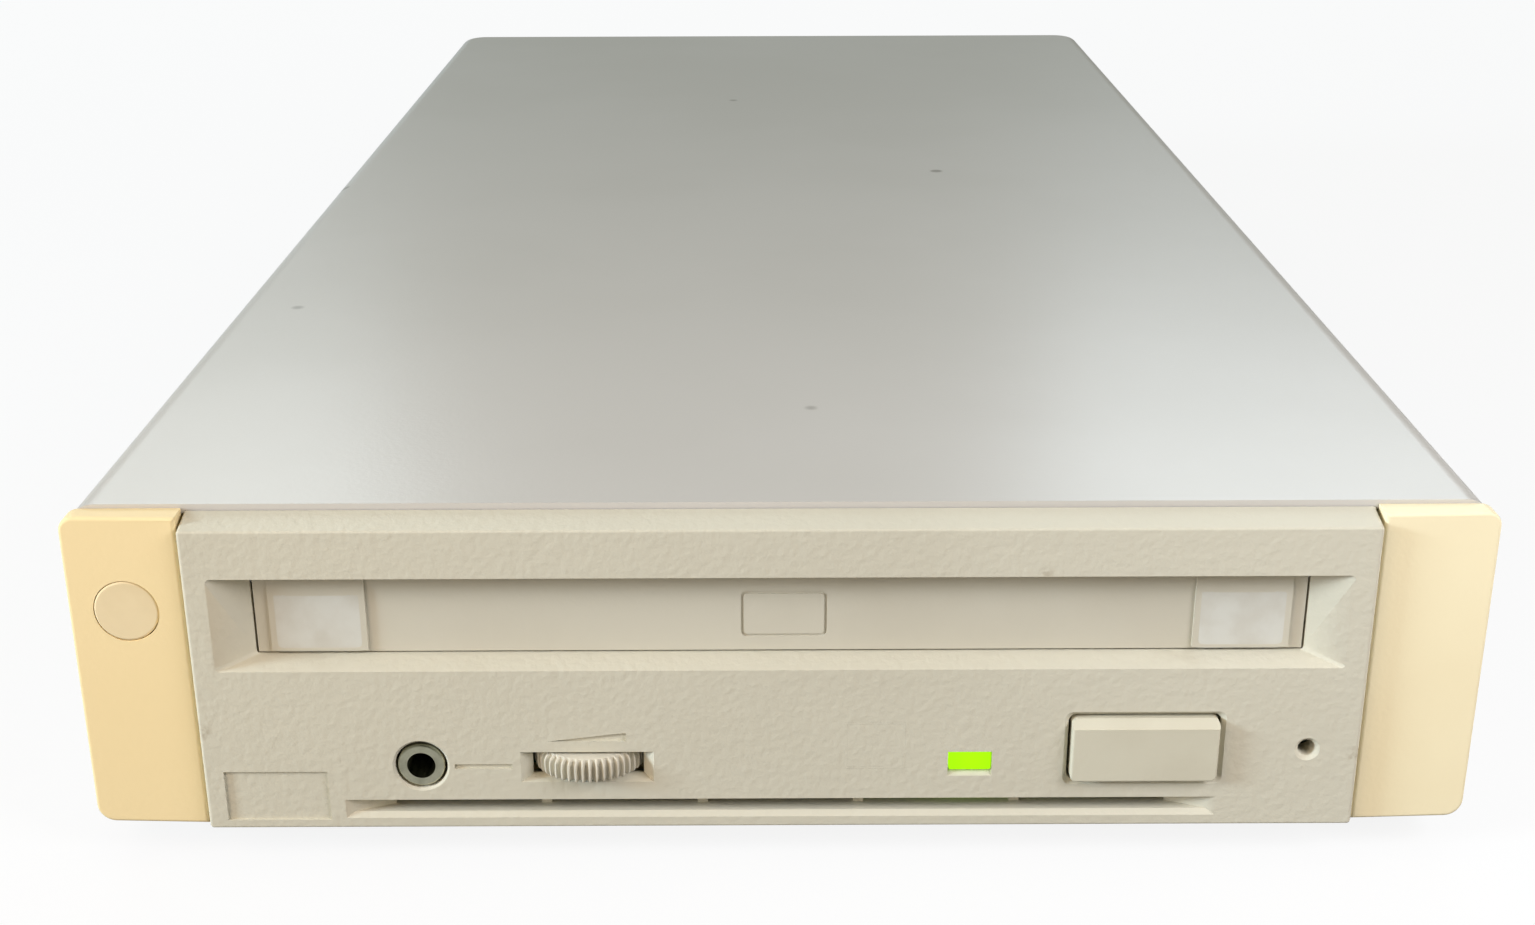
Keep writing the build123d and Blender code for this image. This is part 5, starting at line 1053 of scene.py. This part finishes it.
# Bright, with the lathe's fine lines.
TURNED_ALLOY = DrawnMetal(
    "turned_alloy", "#A8ABAE", "#86898C", patch_mm=8.0, roughness=0.26, roughness_spread=0.14,
    grain_height_mm=0.005, along=Axis.X, line_mm=0.2)
# Black skin with a dim metal sheen.
ANODISED = Finish(
    "black_anodised_extrusion", "#232427", "#34363A", patch_mm=15.0, patch_share=0.5,
    roughness=0.42, grain_mm=0.7, metallic=0.6)
# Green lacquer over paler tracks, with tinned dots.
BOARD = CircuitBoard(
    "glass_epoxy_board", "#17532F", "#1E6238", patch_mm=12.0, patch_share=0.4, roughness=0.34)
# Matt charcoal, finely sandy.
CHIP = SparkTexture(
    "epoxy_chip_moulded", "#1B1B1D", "#2C2C2E", patch_mm=6.0, patch_share=0.5, roughness=0.55,
    grain_mm=0.35)
# Dark grey with a slight fibrous roughness.
CARRIER_PLASTIC = SparkTexture(
    "glass_filled_carrier_moulded", "#2B2C2F", "#3C3D40", patch_mm=14.0, patch_share=0.5,
    roughness=0.48, grain_mm=0.7, grain_height_mm=0.02)
# Milky white with a waxy sheen.
ACETAL = Finish(
    "acetal_white_moulded", "#E4E2DA", "#CBC8BD", patch_mm=10.0, roughness=0.36, grain_mm=0.9,
    grain_height_mm=0.008)
# Plain off-white, slightly soiled.
SELECTOR_WHITE = Finish(
    "styrene_selector_moulded", "#DCDAD2", "#BDB9AE", patch_mm=4.0, roughness=0.4,
    grain_height_mm=0.006)
# Bright yellow-green light through a dark green lens.
LAMP = LitLens(
    "acrylic_lamp_lit", "#2C7400", "#215C00", patch_mm=2.0, patch_share=0.3, roughness=0.3,
    grain_mm=0.8, specular=0.2)
# Clear with a bluish glint.
LENS_GLASS = ClearOptic(
    "coated_lens_glass", "#B9C4E0", "#A8B6DA", patch_mm=2.0, patch_share=0.3, roughness=0.05,
    roughness_spread=0.04, grain_mm=2.0, grain_height_mm=0.001, coat=0.4)
# Dull dark brown core with paler tape, both without a sheen.
FERRITE = Finish(
    "ferrite_core_with_tape", "#4A4136", "#2D2823", patch_mm=9.0, patch_share=0.7, roughness=0.6,
    grain_mm=0.8, grain_height_mm=0.03)
# Dark blue film, tight and shiny.
SLEEVE = Finish(
    "shrunk_vinyl_sleeve", "#151C33", "#232C48", patch_mm=7.0, patch_share=0.4, roughness=0.28,
    grain_mm=1.5, grain_height_mm=0.012, coat=0.2)
# Grey, ribbed by its wires, with painted shade between them.
FLAT_CABLE = LaidRibs(
    "vinyl_flat_cable", "#A3A6AB", "#7C7F84", patch_mm=15.0, patch_share=0.3, roughness=0.45)
# Dark blue with faint rings, with painted shade between them.
LEAD = LaidRibs(
    "vinyl_lead_sleeve", "#2A2D59", "#1B1D3C", patch_mm=9.0, patch_share=0.3, roughness=0.42,
    across=Axis.Y, rib_mm=2.2, rib_height_mm=0.05)


# Sub-assemblies


@dataclass
class CaseShell:
    """Painted cover and pan, the two yellowed cheeks, feet and screws.

    Attributes:
        cover_edge_mm: Rounding of the cover's edges.
        cheek_edge_mm: Rounding of the cheeks' edges.
        pan_edge_mm: Rounding of the pan's edges.
    """

    cover_edge_mm: float = 0.4
    cheek_edge_mm: float = 0.4
    pan_edge_mm: float = 0.2

    def build(self) -> None:
        """Makes the pieces with softened edges and paints the nodes that stay."""
        SoftEdges("top_cover", "case_paint", COVER_PAINT, self.cover_edge_mm).build()
        SoftEdges("front_frame", "cheek_plastic", CHEEK_PLASTIC, self.cheek_edge_mm).build()
        SoftEdges("base_pan", "pan_steel", PAN_PAINT, self.pan_edge_mm, segments=2).build()
        paint(BADGE_PLASTIC, "blank_badge")
        paint(RUBBER, "rubber_feet")
        paint(SCREW_STEEL, "cover_screws", "drive_mount_screws")


@dataclass
class DriveFront:
    """Bezel, door, button, lamp and the parts right behind them.

    Attributes:
        bezel_edge_mm: Rounding of the bezel's edges.
        door_edge_mm: Rounding of the door's edges.
        button_edge_mm: Rounding of the button's edges.
    """

    bezel_edge_mm: float = 0.3
    door_edge_mm: float = 0.2
    button_edge_mm: float = 0.15

    def build(self) -> None:
        """Makes the moulded fronts with softened edges and paints what is behind them."""
        SoftEdges("drive_bezel", "bezel_plastic", BEZEL_PLASTIC, self.bezel_edge_mm).build()
        SoftEdges("caddy_door", "door_plastic", DOOR_PLASTIC, self.door_edge_mm, "door").build()
        SoftEdges("eject_button", "button_plastic", BUTTON_PLASTIC, self.button_edge_mm,
                  "eject_button").build()
        paint(LAMP, "led_lens")
        paint(PLATED, "jack_bush")
        paint(PLASTIC_BLACK, "headphone_jack", "eject_switch", "volume_control")
        paint(PIN_STEEL, "door_pin")
        paint(BOARD, "front_circuit_board")
        paint(CHIP, "front_board_parts")


@dataclass
class VolumeWheel:
    """Ribbed wheel that stands a little out of its slot.

    Attributes:
        middle: Its axis in X and depth, and the height of its middle, in millimetres.
        radius: Radius over the ribs.
        bore: Radius of the hole for the post.
        half_height: Half its thickness.
        ribs: Number of ribs.
        rib_share: Share of the pitch that a rib's top takes.
        open_wave: Value of the wave from which a groove is fully open.
        groove: Depth of the grooves between the ribs.
        groove_curve: Exponent of a groove's section; less than 1 makes it round.
        groove_end: Distances below the upper edge at which a groove ends and is fully deep.
        crown: How much smaller the rim is at its upper edge.
        crown_curve: Exponent of the crown; large keeps it close to the edge.
        side_curve: Exponent of the section's corners along the radius.
        face_curve: Exponent of the section's corners along the height.
        rim_start: Cosine in the section above which a point is on the straight rim.
        section_points: Points round the section.
        rib_points: Points along the rim from rib to rib.
    """

    middle: Triple = (-24.4, 5.2, 14.0)
    radius: float = 7.4
    bore: float = 2.6
    half_height: float = 1.5
    ribs: int = 50
    rib_share: float = 0.26
    open_wave: float = 0.8
    groove: float = 0.7
    groove_curve: float = 0.6
    groove_end: Pair = (0.04, 0.44)
    crown: float = 0.6
    crown_curve: float = 5.0
    side_curve: float = 0.12
    face_curve: float = 0.14
    rim_start: float = 0.05
    section_points: int = 56
    rib_points: int = 20

    def surface(self) -> np.ndarray:
        """Points of the wheel.

        The section is a squared ring, r = bore + (rim - bore) * (1 + cos(v)^side curve) / 2 and
        z = half height * sin(v)^face curve, or half height * sin(v) up the rim itself. The rim is
        the radius less crown * (z / half height)^crown curve above the middle, less the groove. A
        groove at angle u is groove * smooth(|sin(ribs * u / 2)|)^groove curve, where smooth is 0
        on a rib's top and 1 in the open groove. Under the upper edge it fades with the square
        root of the distance, which gives it an arched end.

        Returns:
            Points shaped (rows, columns, 3) in millimetres.
        """
        v, u = loop(self.section_points)[:, None], loop(self.ribs * self.rib_points)[None]
        faces = power(np.sin(v), self.face_curve)
        z = self.half_height * np.where(np.cos(v) > self.rim_start, np.sin(v), faces)
        z = z * np.ones_like(u)
        crowned = np.clip(z / self.half_height, 0, 1) ** self.crown_curve * self.crown
        wave = np.abs(np.sin(self.ribs * u / 2))
        top = math.sin(math.pi / 2 * self.rib_share)
        open_share = np.clip((wave - top) / (self.open_wave - top), 0, 1)
        end, full = self.groove_end
        fade = np.clip((self.half_height - end - z) / (full - end), 0, 1)
        groove = self.groove * open_share ** self.groove_curve * np.sqrt(fade)
        rim = self.radius - crowned - groove
        reach = self.bore + (rim - self.bore) * (1 + power(np.cos(v), self.side_curve)) / 2
        x, depth, height = self.middle
        return np.stack([x + reach * np.cos(u), deep(depth) + reach * np.sin(u), height + z],
                        axis=-1)

    def build(self) -> None:
        """Makes the wheel, which stands for the plain one of the CAD frame."""
        wheel = grids_mesh("volume_wheel_ribbed", self.surface()[None], close_rows=True)
        dress(wheel, "volume_wheel", "wheel_plastic", WHEEL_PLASTIC, "volume_wheel")


@dataclass
class DoorPads:
    """Two polished pads let into the ends of the door, where fingers push it.

    Attributes:
        side: Distance of a pad's middle from the drive's middle.
        height: Height of its middle above the desk.
        half: Half its size along X, Y and Z.
        sink: How far the pad's middle lies behind the face of the bezel.
        slope_height: Height of the sloped band along its top.
        slope_depth: How far that band leans back.
        edge: Exponent of the rounding from face to side.
        corner: Exponent of the rounding of the outline.
        points: Points from face to face, and round the outline.
    """

    side: float = 57.4
    height: float = 33.4
    half: Triple = (5.95, 0.24, 4.62)
    sink: float = 2.92
    slope_height: float = 1.5
    slope_depth: float = 0.42
    edge: float = 0.3
    corner: float = 0.12
    points: tuple[int, int] = (30, 96)

    def surface(self) -> np.ndarray:
        """Points of one pad round its own middle.

        A crowned slab whose front leans back near its top: Y grows by
        slope depth * ((z - start) / slope height) above start, the lower edge of the slope.

        Returns:
            Points shaped (rows, columns, 3) in millimetres.
        """
        slab = crowned_slab(self.half, self.edge, self.corner, *self.points)
        start = self.half[2] - self.slope_height
        slab[..., 1] += np.clip((slab[..., 2] - start) / self.slope_height, 0, 1) * self.slope_depth
        return slab

    def build(self) -> None:
        """Makes both pads on the door."""
        places = np.array([(way * self.side, deep(self.sink), self.height) for way in (-1, 1)])
        pads = grids_mesh("door_pads", self.surface()[None] + places[:, None, None])
        dress(pads, "door", "door_plastic", PAD_PLASTIC)


@dataclass
class RearPanel:
    """Mains inlet, switch, data sockets, selector and sound sockets.

    Attributes:
        inlet: X and Z of the mains inlet.
        blades: X and Z of its three blades from there.
        blade_half: Half a blade's width and height, with a little room.
        blade_ends: How far the blades reach into the panel and out of it.
        socket_x: X of both data sockets.
        socket_heights: Z of each data socket.
        core_half: Half the width and height of a socket's plastic core.
        core_ends: How far the cores reach into the panel and out of it.
        contacts: Contacts in one row of a data socket.
        contact_pitch: Distance from contact to contact.
        contact_row: Height of a row of contacts above or below the socket's middle.
        contact_out: How far a contact's middle stands out of the panel.
        contact_size: Half its width, its length and half its thickness.
        contact_bow: How far it bows towards the slot.
        contact_round: Exponent of the rounding of its section.
        contact_points: Points along a contact and round it.
        sounds: X and Z of the middle of both sound sockets.
        collar_half: Half the width and height of the box round their plastic collars.
        collar_ends: How far the collars reach into the panel and out of it.
        switch: X and Z of the mains switch.
        rocker_tilt: Degrees that the rocker rests at.
        rocker_depth: Depth of the rocker's axis.
        mark_place: Distance of a mark from the axis along the rocker and out of it.
        ring: Radius and half thickness of the ring.
        bar_half: Half the bar's size along X, Y and Z.
        bar_round: Exponent of the rounding of its edges and corners.
        panel_edge_mm: Rounding of the panel's edges.
        inlet_edge_mm: Rounding of the mains inlet's edges.
        switch_edge_mm: Rounding of the edges of the switch and the selector.
        rocker_edge_mm: Rounding of the rocker's edges.
    """

    inlet: Pair = (64.0, 24.0)
    blades: tuple[Pair, ...] = ((-7.0, -1.8), (7.0, -1.8), (0.0, 2.2))
    blade_half: Pair = (1.3, 2.3)
    blade_ends: Pair = (12.8, 1.2)
    socket_x: float = -34.0
    socket_heights: Pair = (16.0, 35.0)
    core_half: Pair = (32.05, 4.55)
    core_ends: Pair = (9.5, 5.8)
    contacts: int = 25
    contact_pitch: float = 2.16
    contact_row: float = 2.6
    contact_out: float = 0.6
    contact_size: Triple = (0.5, 7.0, 0.12)
    contact_bow: float = 0.4
    contact_round: float = 0.4
    contact_points: tuple[int, int] = (9, 8)
    sounds: Pair = (30.0, 12.5)
    collar_half: Pair = (15.0, 7.5)
    collar_ends: Pair = (12.0, 1.41)
    switch: Pair = (36.0, 34.0)
    rocker_tilt: float = 10.0
    rocker_depth: float = PANEL_FACE - 2.8
    mark_place: Pair = (4.6, 4.62)
    ring: Pair = (1.25, 0.16)
    bar_half: Triple = (0.2, 0.12, 1.4)
    bar_round: float = 0.5
    panel_edge_mm: float = 0.15
    inlet_edge_mm: float = 0.3
    switch_edge_mm: float = 0.2
    rocker_edge_mm: float = 0.25

    def contact_surface(self) -> np.ndarray:
        """One springy contact: a strip whose profile bows towards the slot.

        The strip's middle line runs back to front along Y, and its height is
        bow * sin(pi * s) for s from 0 to 1. Its section is a flat rounded loop.

        Returns:
            Points shaped (rows, columns, 3) round the contact's own place.
        """
        rows, columns = self.contact_points
        s, u = np.linspace(0, 1, rows)[:, None], loop(columns)[None]
        half_width, length, half_thick = self.contact_size
        x = half_width * power(np.cos(u), self.contact_round) * np.ones_like(s)
        y = (s - 0.5) * length * np.ones_like(u)
        bow = self.contact_bow * np.sin(math.pi * s)
        z = bow + half_thick * power(np.sin(u), self.contact_round)
        return np.stack([x, y, z], axis=-1)

    def build_contacts(self) -> None:
        """Two rows of contacts in each data socket, the upper row upside down."""
        strip = self.contact_surface()
        steps = (np.arange(self.contacts) - (self.contacts - 1) / 2) * self.contact_pitch
        y = np.full_like(steps, deep(PANEL_FACE + self.contact_out))
        grids = []
        for height in self.socket_heights:
            for way in (-1, 1):
                z = np.full_like(steps, height + way * self.contact_row)
                places = np.stack([self.socket_x + steps, y, z], axis=-1)
                row = strip * np.array([1.0, 1.0, -way])
                grids.append(row[None] + places[:, None, None])
        made = grids_mesh("data_contacts", np.concatenate(grids))
        dress(made, "case", "socket_metal", CONTACT_GOLD)

    def build_marks(self) -> None:
        """A ring on one end of the rocker and a bar on the other, as on any mains switch.

        Each mark is turned about Z by the rocker's tilt, and its place is the axis plus its own X
        along the tilted rocker and its distance out of it.
        """
        turn = math.radians(self.rocker_tilt)
        along = np.array([math.cos(turn), math.sin(turn), 0])
        out = np.array([-math.sin(turn), math.cos(turn), 0])
        axis = np.array([self.switch[0], deep(self.rocker_depth), self.switch[1]])
        reach, proud = self.mark_place
        bar = crowned_slab(self.bar_half, self.bar_round, self.bar_round, 10, 20)
        for name, shape, x in (("rocker_ring", ring_surface(*self.ring), reach),
                               ("rocker_bar", bar, -reach)):
            points = shape @ np.array([along, out, [0, 0, 1]]) + axis + x * along + proud * out
            made = grids_mesh(name, points[None], close_rows=name.endswith("ring"))
            dress(made, "power_rocker", "selector_white", SELECTOR_WHITE)

    def build(self) -> None:
        """Makes the panel's softened pieces, the contacts and the marks, and paints the rest."""
        inlet_x, inlet_z = self.inlet
        blades = tuple(panel_region((inlet_x + x, inlet_z + z), self.blade_half, *self.blade_ends)
                       for x, z in self.blades)
        cores = tuple(panel_region((self.socket_x, z), self.core_half, *self.core_ends)
                      for z in self.socket_heights)
        collars = (panel_region(self.sounds, self.collar_half, *self.collar_ends),)
        inlet = Parted("inlet_plastic_and_blades", "#17171A", "#2A2A2B", main=PLASTIC_BLACK,
                       other=PLATED, regions=blades)
        SoftEdges("rear_panel", "panel_steel", PANEL_PAINT, self.panel_edge_mm, segments=2).build()
        SoftEdges("power_inlet", "black_plastic", inlet, self.inlet_edge_mm).build()
        SoftEdges("power_switch", "black_plastic", PLASTIC_BLACK, self.switch_edge_mm).build()
        SoftEdges("power_rocker", "black_plastic", PLASTIC_BLACK, self.rocker_edge_mm,
                  "power_rocker").build()
        SoftEdges("selector_body", "black_plastic", PLASTIC_BLACK, self.switch_edge_mm).build()
        paint(Parted("socket_shell_and_core", "#BFBDB3", "#9C988B", main=SHELL_METAL,
                     other=PLASTIC_BLUE, regions=cores), "data_sockets")
        paint(Parted("sound_sleeve_and_collar", "#BDB8A6", "#7F7A66", main=PLATED,
                     other=PLASTIC_BLACK, regions=collars), "audio_jacks")
        paint(SELECTOR_WHITE, "selector_drum", "selector_button_upper", "selector_button_lower")
        paint(SPRING_WIRE, *(f"socket_bail_{end}_{side}" for end in ("upper", "lower")
                             for side in ("left", "right")))
        self.build_contacts()
        self.build_marks()


@dataclass
class Insides:
    """Parts inside the closed case, each painted with the finish it is listed under.

    Attributes:
        mechanism: Drive body, caddy carrier, gears, motors, sled and clamp.
        electronics: Boards, supply and wiring.
    """

    mechanism: dict[Finish, tuple[str, ...]] = field(default_factory=lambda: {
        CAST_ALLOY: ("drive_chassis", "optical_sled"),
        ZINC: ("drive_top_plate", "mechanism_deck", "clamp_arm"),
        SOFT_RUBBER: ("deck_grommets",),
        CARRIER_PLASTIC: ("caddy_carrier", "clamp_puck"),
        ACETAL: ("cam_slider", "loading_gear", "loading_pinion", "sled_pinion"),
        MOTOR_CAN: ("loading_motor", "spindle_motor", "sled_motor"),
        TURNED_ALLOY: ("turntable",),
        PIN_STEEL: ("clamp_pin",),
        LENS_GLASS: ("objective_lens",),
        RAIL_STEEL: ("sled_rails",)})
    electronics: dict[Finish, tuple[str, ...]] = field(default_factory=lambda: {
        BOARD: ("main_circuit_board", "power_supply_board"),
        CHIP: ("board_chips",),
        FERRITE: ("transformer",),
        SLEEVE: ("capacitors",),
        ANODISED: ("heat_sink",),
        FLAT_CABLE: ("ribbon_cable",),
        LEAD: ("wiring_harness",)})

    def build(self) -> None:
        """Paints every node inside the case."""
        for finish, nodes in (*self.mechanism.items(), *self.electronics.items()):
            paint(finish, *nodes)


# Studio


@dataclass(frozen=True)
class SoftLamp:
    """Rectangular soft lamp that no camera sees.

    Attributes:
        name: Its name.
        place: Its middle in millimetres.
        aim: Point that it faces.
        size: Width and height in millimetres.
        watts: Its power.
        colour: sRGB hex of its light.
        gloss: True if shiny surfaces show its reflection.
    """

    name: str
    place: Triple
    aim: Triple
    size: Pair
    watts: float
    colour: str
    gloss: bool = False

    def build(self) -> None:
        """Makes the lamp and turns it to what it faces."""
        data = bpy.data.lights.new(self.name, "AREA")
        data.shape = "RECTANGLE"
        data.size, data.size_y = self.size[0] * MM, self.size[1] * MM
        data.energy = self.watts
        data.color = linear(self.colour)[:3]
        lamp = link(self.name, data)
        lamp.visible_camera = False
        lamp.visible_glossy = self.gloss
        lamp.location = metres(self.place)
        way = Vector(self.aim) - Vector(self.place)
        lamp.rotation_euler = way.to_track_quat("-Z", "Y").to_euler()


# A cool window far to the left, two soft boxes and two low strips in front, and two large panels
# high behind, which the satin cover mirrors in its bright front corners.
LAMPS = (
    SoftLamp("window", (-1560, -560, 420), (0, -140, 20), (300, 300), 28.0, "#D6EDFF"),
    SoftLamp("near_left", (-250, -345, 235), (-60, -160, 30), (190, 190), 0.52, "#FFE6CB"),
    SoftLamp("near_right", (265, -340, 235), (60, -160, 30), (190, 190), 1.12, "#FAF9FF"),
    SoftLamp("low_left", (-420, -560, 50), (-60, -170, 25), (300, 90), 0.60, "#FFF1E4"),
    SoftLamp("low_right", (430, -560, 50), (60, -170, 25), (300, 90), 0.17, "#FFE7B4"),
    SoftLamp("back_left", (-533, 835, 690), (-60, -160, 40), (620, 460), 3.2, "#EEFBFF", True),
    SoftLamp("back_right", (500, 860, 690), (60, -160, 40), (680, 460), 3.5, "#EAF8FF", True))


def seen_part(tree: Tree, ray: bpy.types.Node) -> Wire:
    """1 for what the camera sees straight or through glass, and 0 for light on things.

    Args:
        tree: Node tree.
        ray: Light Path node.

    Returns:
        The larger of the two.
    """
    return add(tree, Kind.MATH, {0: ray.outputs["Is Camera Ray"],
                                 1: ray.outputs["Is Transmission Ray"]}, operation="MAXIMUM")


@dataclass
class Studio:
    """Pale floor, soft lamps and the camera of the photograph.

    Attributes:
        eye: Place of the camera in millimetres.
        down_degrees: How far it looks down.
        turn_degrees: How far it is turned about Z.
        roll_degrees: How far it is rolled.
        focal_pixels: Focal length in pixels of a picture of the photograph's width.
        picture_width: Width of the photograph in pixels.
        sensor: Width of the sensor in millimetres.
        near_and_far: Distances in metres between which the camera sees.
        world_level: Strength of the light from all round.
        world_tint: sRGB hex of that light.
        floor_half: Half the floor's width in millimetres.
        floor_drop: How far below the feet it lies.
        floor_lit: sRGB hex of the floor where it lights the object.
        floor_seen: sRGB hex of the floor where it is seen.
        white_share: How white the seen floor is near the object and far away.
        white_reach: Distances in metres between which it fades to white.
        gloss_share: How white the floor is in a glossy reflection.
        card_half: Half the width of the dark card in millimetres.
        card_heights: Heights of its lower and upper edge.
        card_y: Y of the card.
        card_colour: sRGB hex of the card.
    """

    eye: Triple = (-1.85, -397.77, 141.0)
    down_degrees: float = 21.283
    turn_degrees: float = -0.084
    roll_degrees: float = -0.183
    focal_pixels: float = 1993.4
    picture_width: float = 1535.0
    sensor: float = 36.0
    near_and_far: Pair = (0.01, 50.0)
    world_level: float = 0.196
    world_tint: str = "#FFFDE4"
    floor_half: float = 6000.0
    floor_drop: float = 0.02
    floor_lit: str = "#74726E"
    floor_seen: str = "#E6E6E6"
    white_share: Pair = (0.88, 1.0)
    white_reach: Pair = (0.6, 2.6)
    gloss_share: float = 0.4
    card_half: float = 130.0
    card_heights: Pair = (90.0, 620.0)
    card_y: float = -500.0
    card_colour: str = "#2A2825"

    def build_camera(self) -> None:
        """Camera at the photograph's viewpoint, with no shift and no blur."""
        data = bpy.data.cameras.new("camera")
        data.sensor_width = self.sensor
        data.lens = self.focal_pixels / self.picture_width * self.sensor
        data.clip_start, data.clip_end = self.near_and_far
        camera = link("camera", data)
        camera.matrix_world = (
            Matrix.Translation(Vector(self.eye) * MM)
            @ Matrix.Rotation(math.radians(self.turn_degrees), 4, "Z")
            @ Matrix.Rotation(math.radians(90 - self.down_degrees), 4, "X")
            @ Matrix.Rotation(math.radians(self.roll_degrees), 4, "Z"))
        bpy.context.scene.camera = camera

    def build_floor(self) -> None:
        """Wide pale floor that looks white from the camera and keeps a soft shadow."""
        line = np.linspace(-self.floor_half, self.floor_half, 3)
        x, y = np.meshgrid(line, line, indexing="ij")
        floor = grids_mesh("floor", np.stack([x, y, np.full_like(x, -self.floor_drop)],
                                             axis=-1)[None], close_columns=False)
        if floor.data.polygons[0].normal.z < 0:
            floor.data.flip_normals()
        made = blank_material("pale_floor")
        tree = made.node_tree
        ray = add(tree, Kind.RAY)
        seen = seen_part(tree, ray)
        colour = add(tree, Kind.MIX, {0: seen, 6: linear(self.floor_lit),
                                      7: linear(self.floor_seen)}, **COLOURS)
        matte = add(tree, Kind.MATTE, {"Color": colour})
        white = add(tree, Kind.EMISSION, {"Color": (1, 1, 1, 1), "Strength": 1.0})
        away = add(tree, Kind.VECTORS, {0: add(tree, Kind.COORDS).outputs["Object"]},
                   operation="LENGTH")
        level = add(tree, Kind.RANGE, {
            "Value": away, "From Min": self.white_reach[0], "From Max": self.white_reach[1],
            "To Min": self.white_share[0], "To Max": self.white_share[1]}, **SMOOTH)
        share = add(tree, Kind.MATH, {0: seen, 1: level}, operation="MULTIPLY")
        share = add(tree, Kind.MATH, {0: ray.outputs["Is Glossy Ray"], 1: self.gloss_share,
                                      2: share}, operation="MULTIPLY_ADD")
        mixed = add(tree, Kind.MIX_SHADERS, {0: share, 1: matte, 2: white})
        add(tree, Kind.SURFACE, {"Surface": mixed})
        floor.data.materials.append(made)

    def build_world(self) -> None:
        """Even pale light all round, white where the camera sees it."""
        world = bpy.data.worlds.new("studio")
        world.use_nodes = True
        tree = world.node_tree
        tree.nodes.clear()
        seen = seen_part(tree, add(tree, Kind.RAY))
        level = add(tree, Kind.RANGE, {"Value": seen, "To Min": self.world_level})
        tint = add(tree, Kind.MIX, {0: seen, 6: linear(self.world_tint), 7: (1, 1, 1, 1)},
                   **COLOURS)
        light = add(tree, Kind.BACKGROUND, {"Color": tint, "Strength": level})
        add(tree, Kind.WORLD, {"Surface": light})
        bpy.context.scene.world = world

    def build_card(self) -> None:
        """Dark card behind the camera that holds back some light, as a photographer does."""
        x, z = np.meshgrid(np.linspace(-self.card_half, self.card_half, 3),
                           np.linspace(*self.card_heights, 3), indexing="ij")
        card = grids_mesh("flag", np.stack([x, np.full_like(x, self.card_y), z], axis=-1)[None],
                          close_columns=False)
        made = blank_material("matte_card")
        matte = add(made.node_tree, Kind.MATTE, {"Color": linear(self.card_colour)})
        add(made.node_tree, Kind.SURFACE, {"Surface": matte})
        card.data.materials.append(made)
        card.visible_camera = False

    def build(self) -> None:
        """Makes the camera, floor, world, lamps and card."""
        self.build_camera()
        self.build_floor()
        self.build_world()
        for lamp in LAMPS:
            lamp.build()
        self.build_card()
        bpy.context.scene.view_settings.view_transform = "Standard"


def write_sizes() -> None:
    """Brings every object's place up to date."""
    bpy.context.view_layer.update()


def main() -> None:
    """Builds the studio and every sub-assembly in order."""
    logging.basicConfig(level=logging.INFO, format="%(name)s: %(message)s")
    Studio().build()
    for assembly in (CaseShell(), DriveFront(), VolumeWheel(), DoorPads(), RearPanel(),
                     Insides()):
        LOG.info("building %s", type(assembly).__name__)
        assembly.build()
    write_sizes()


if __name__ == "__main__":
    main()
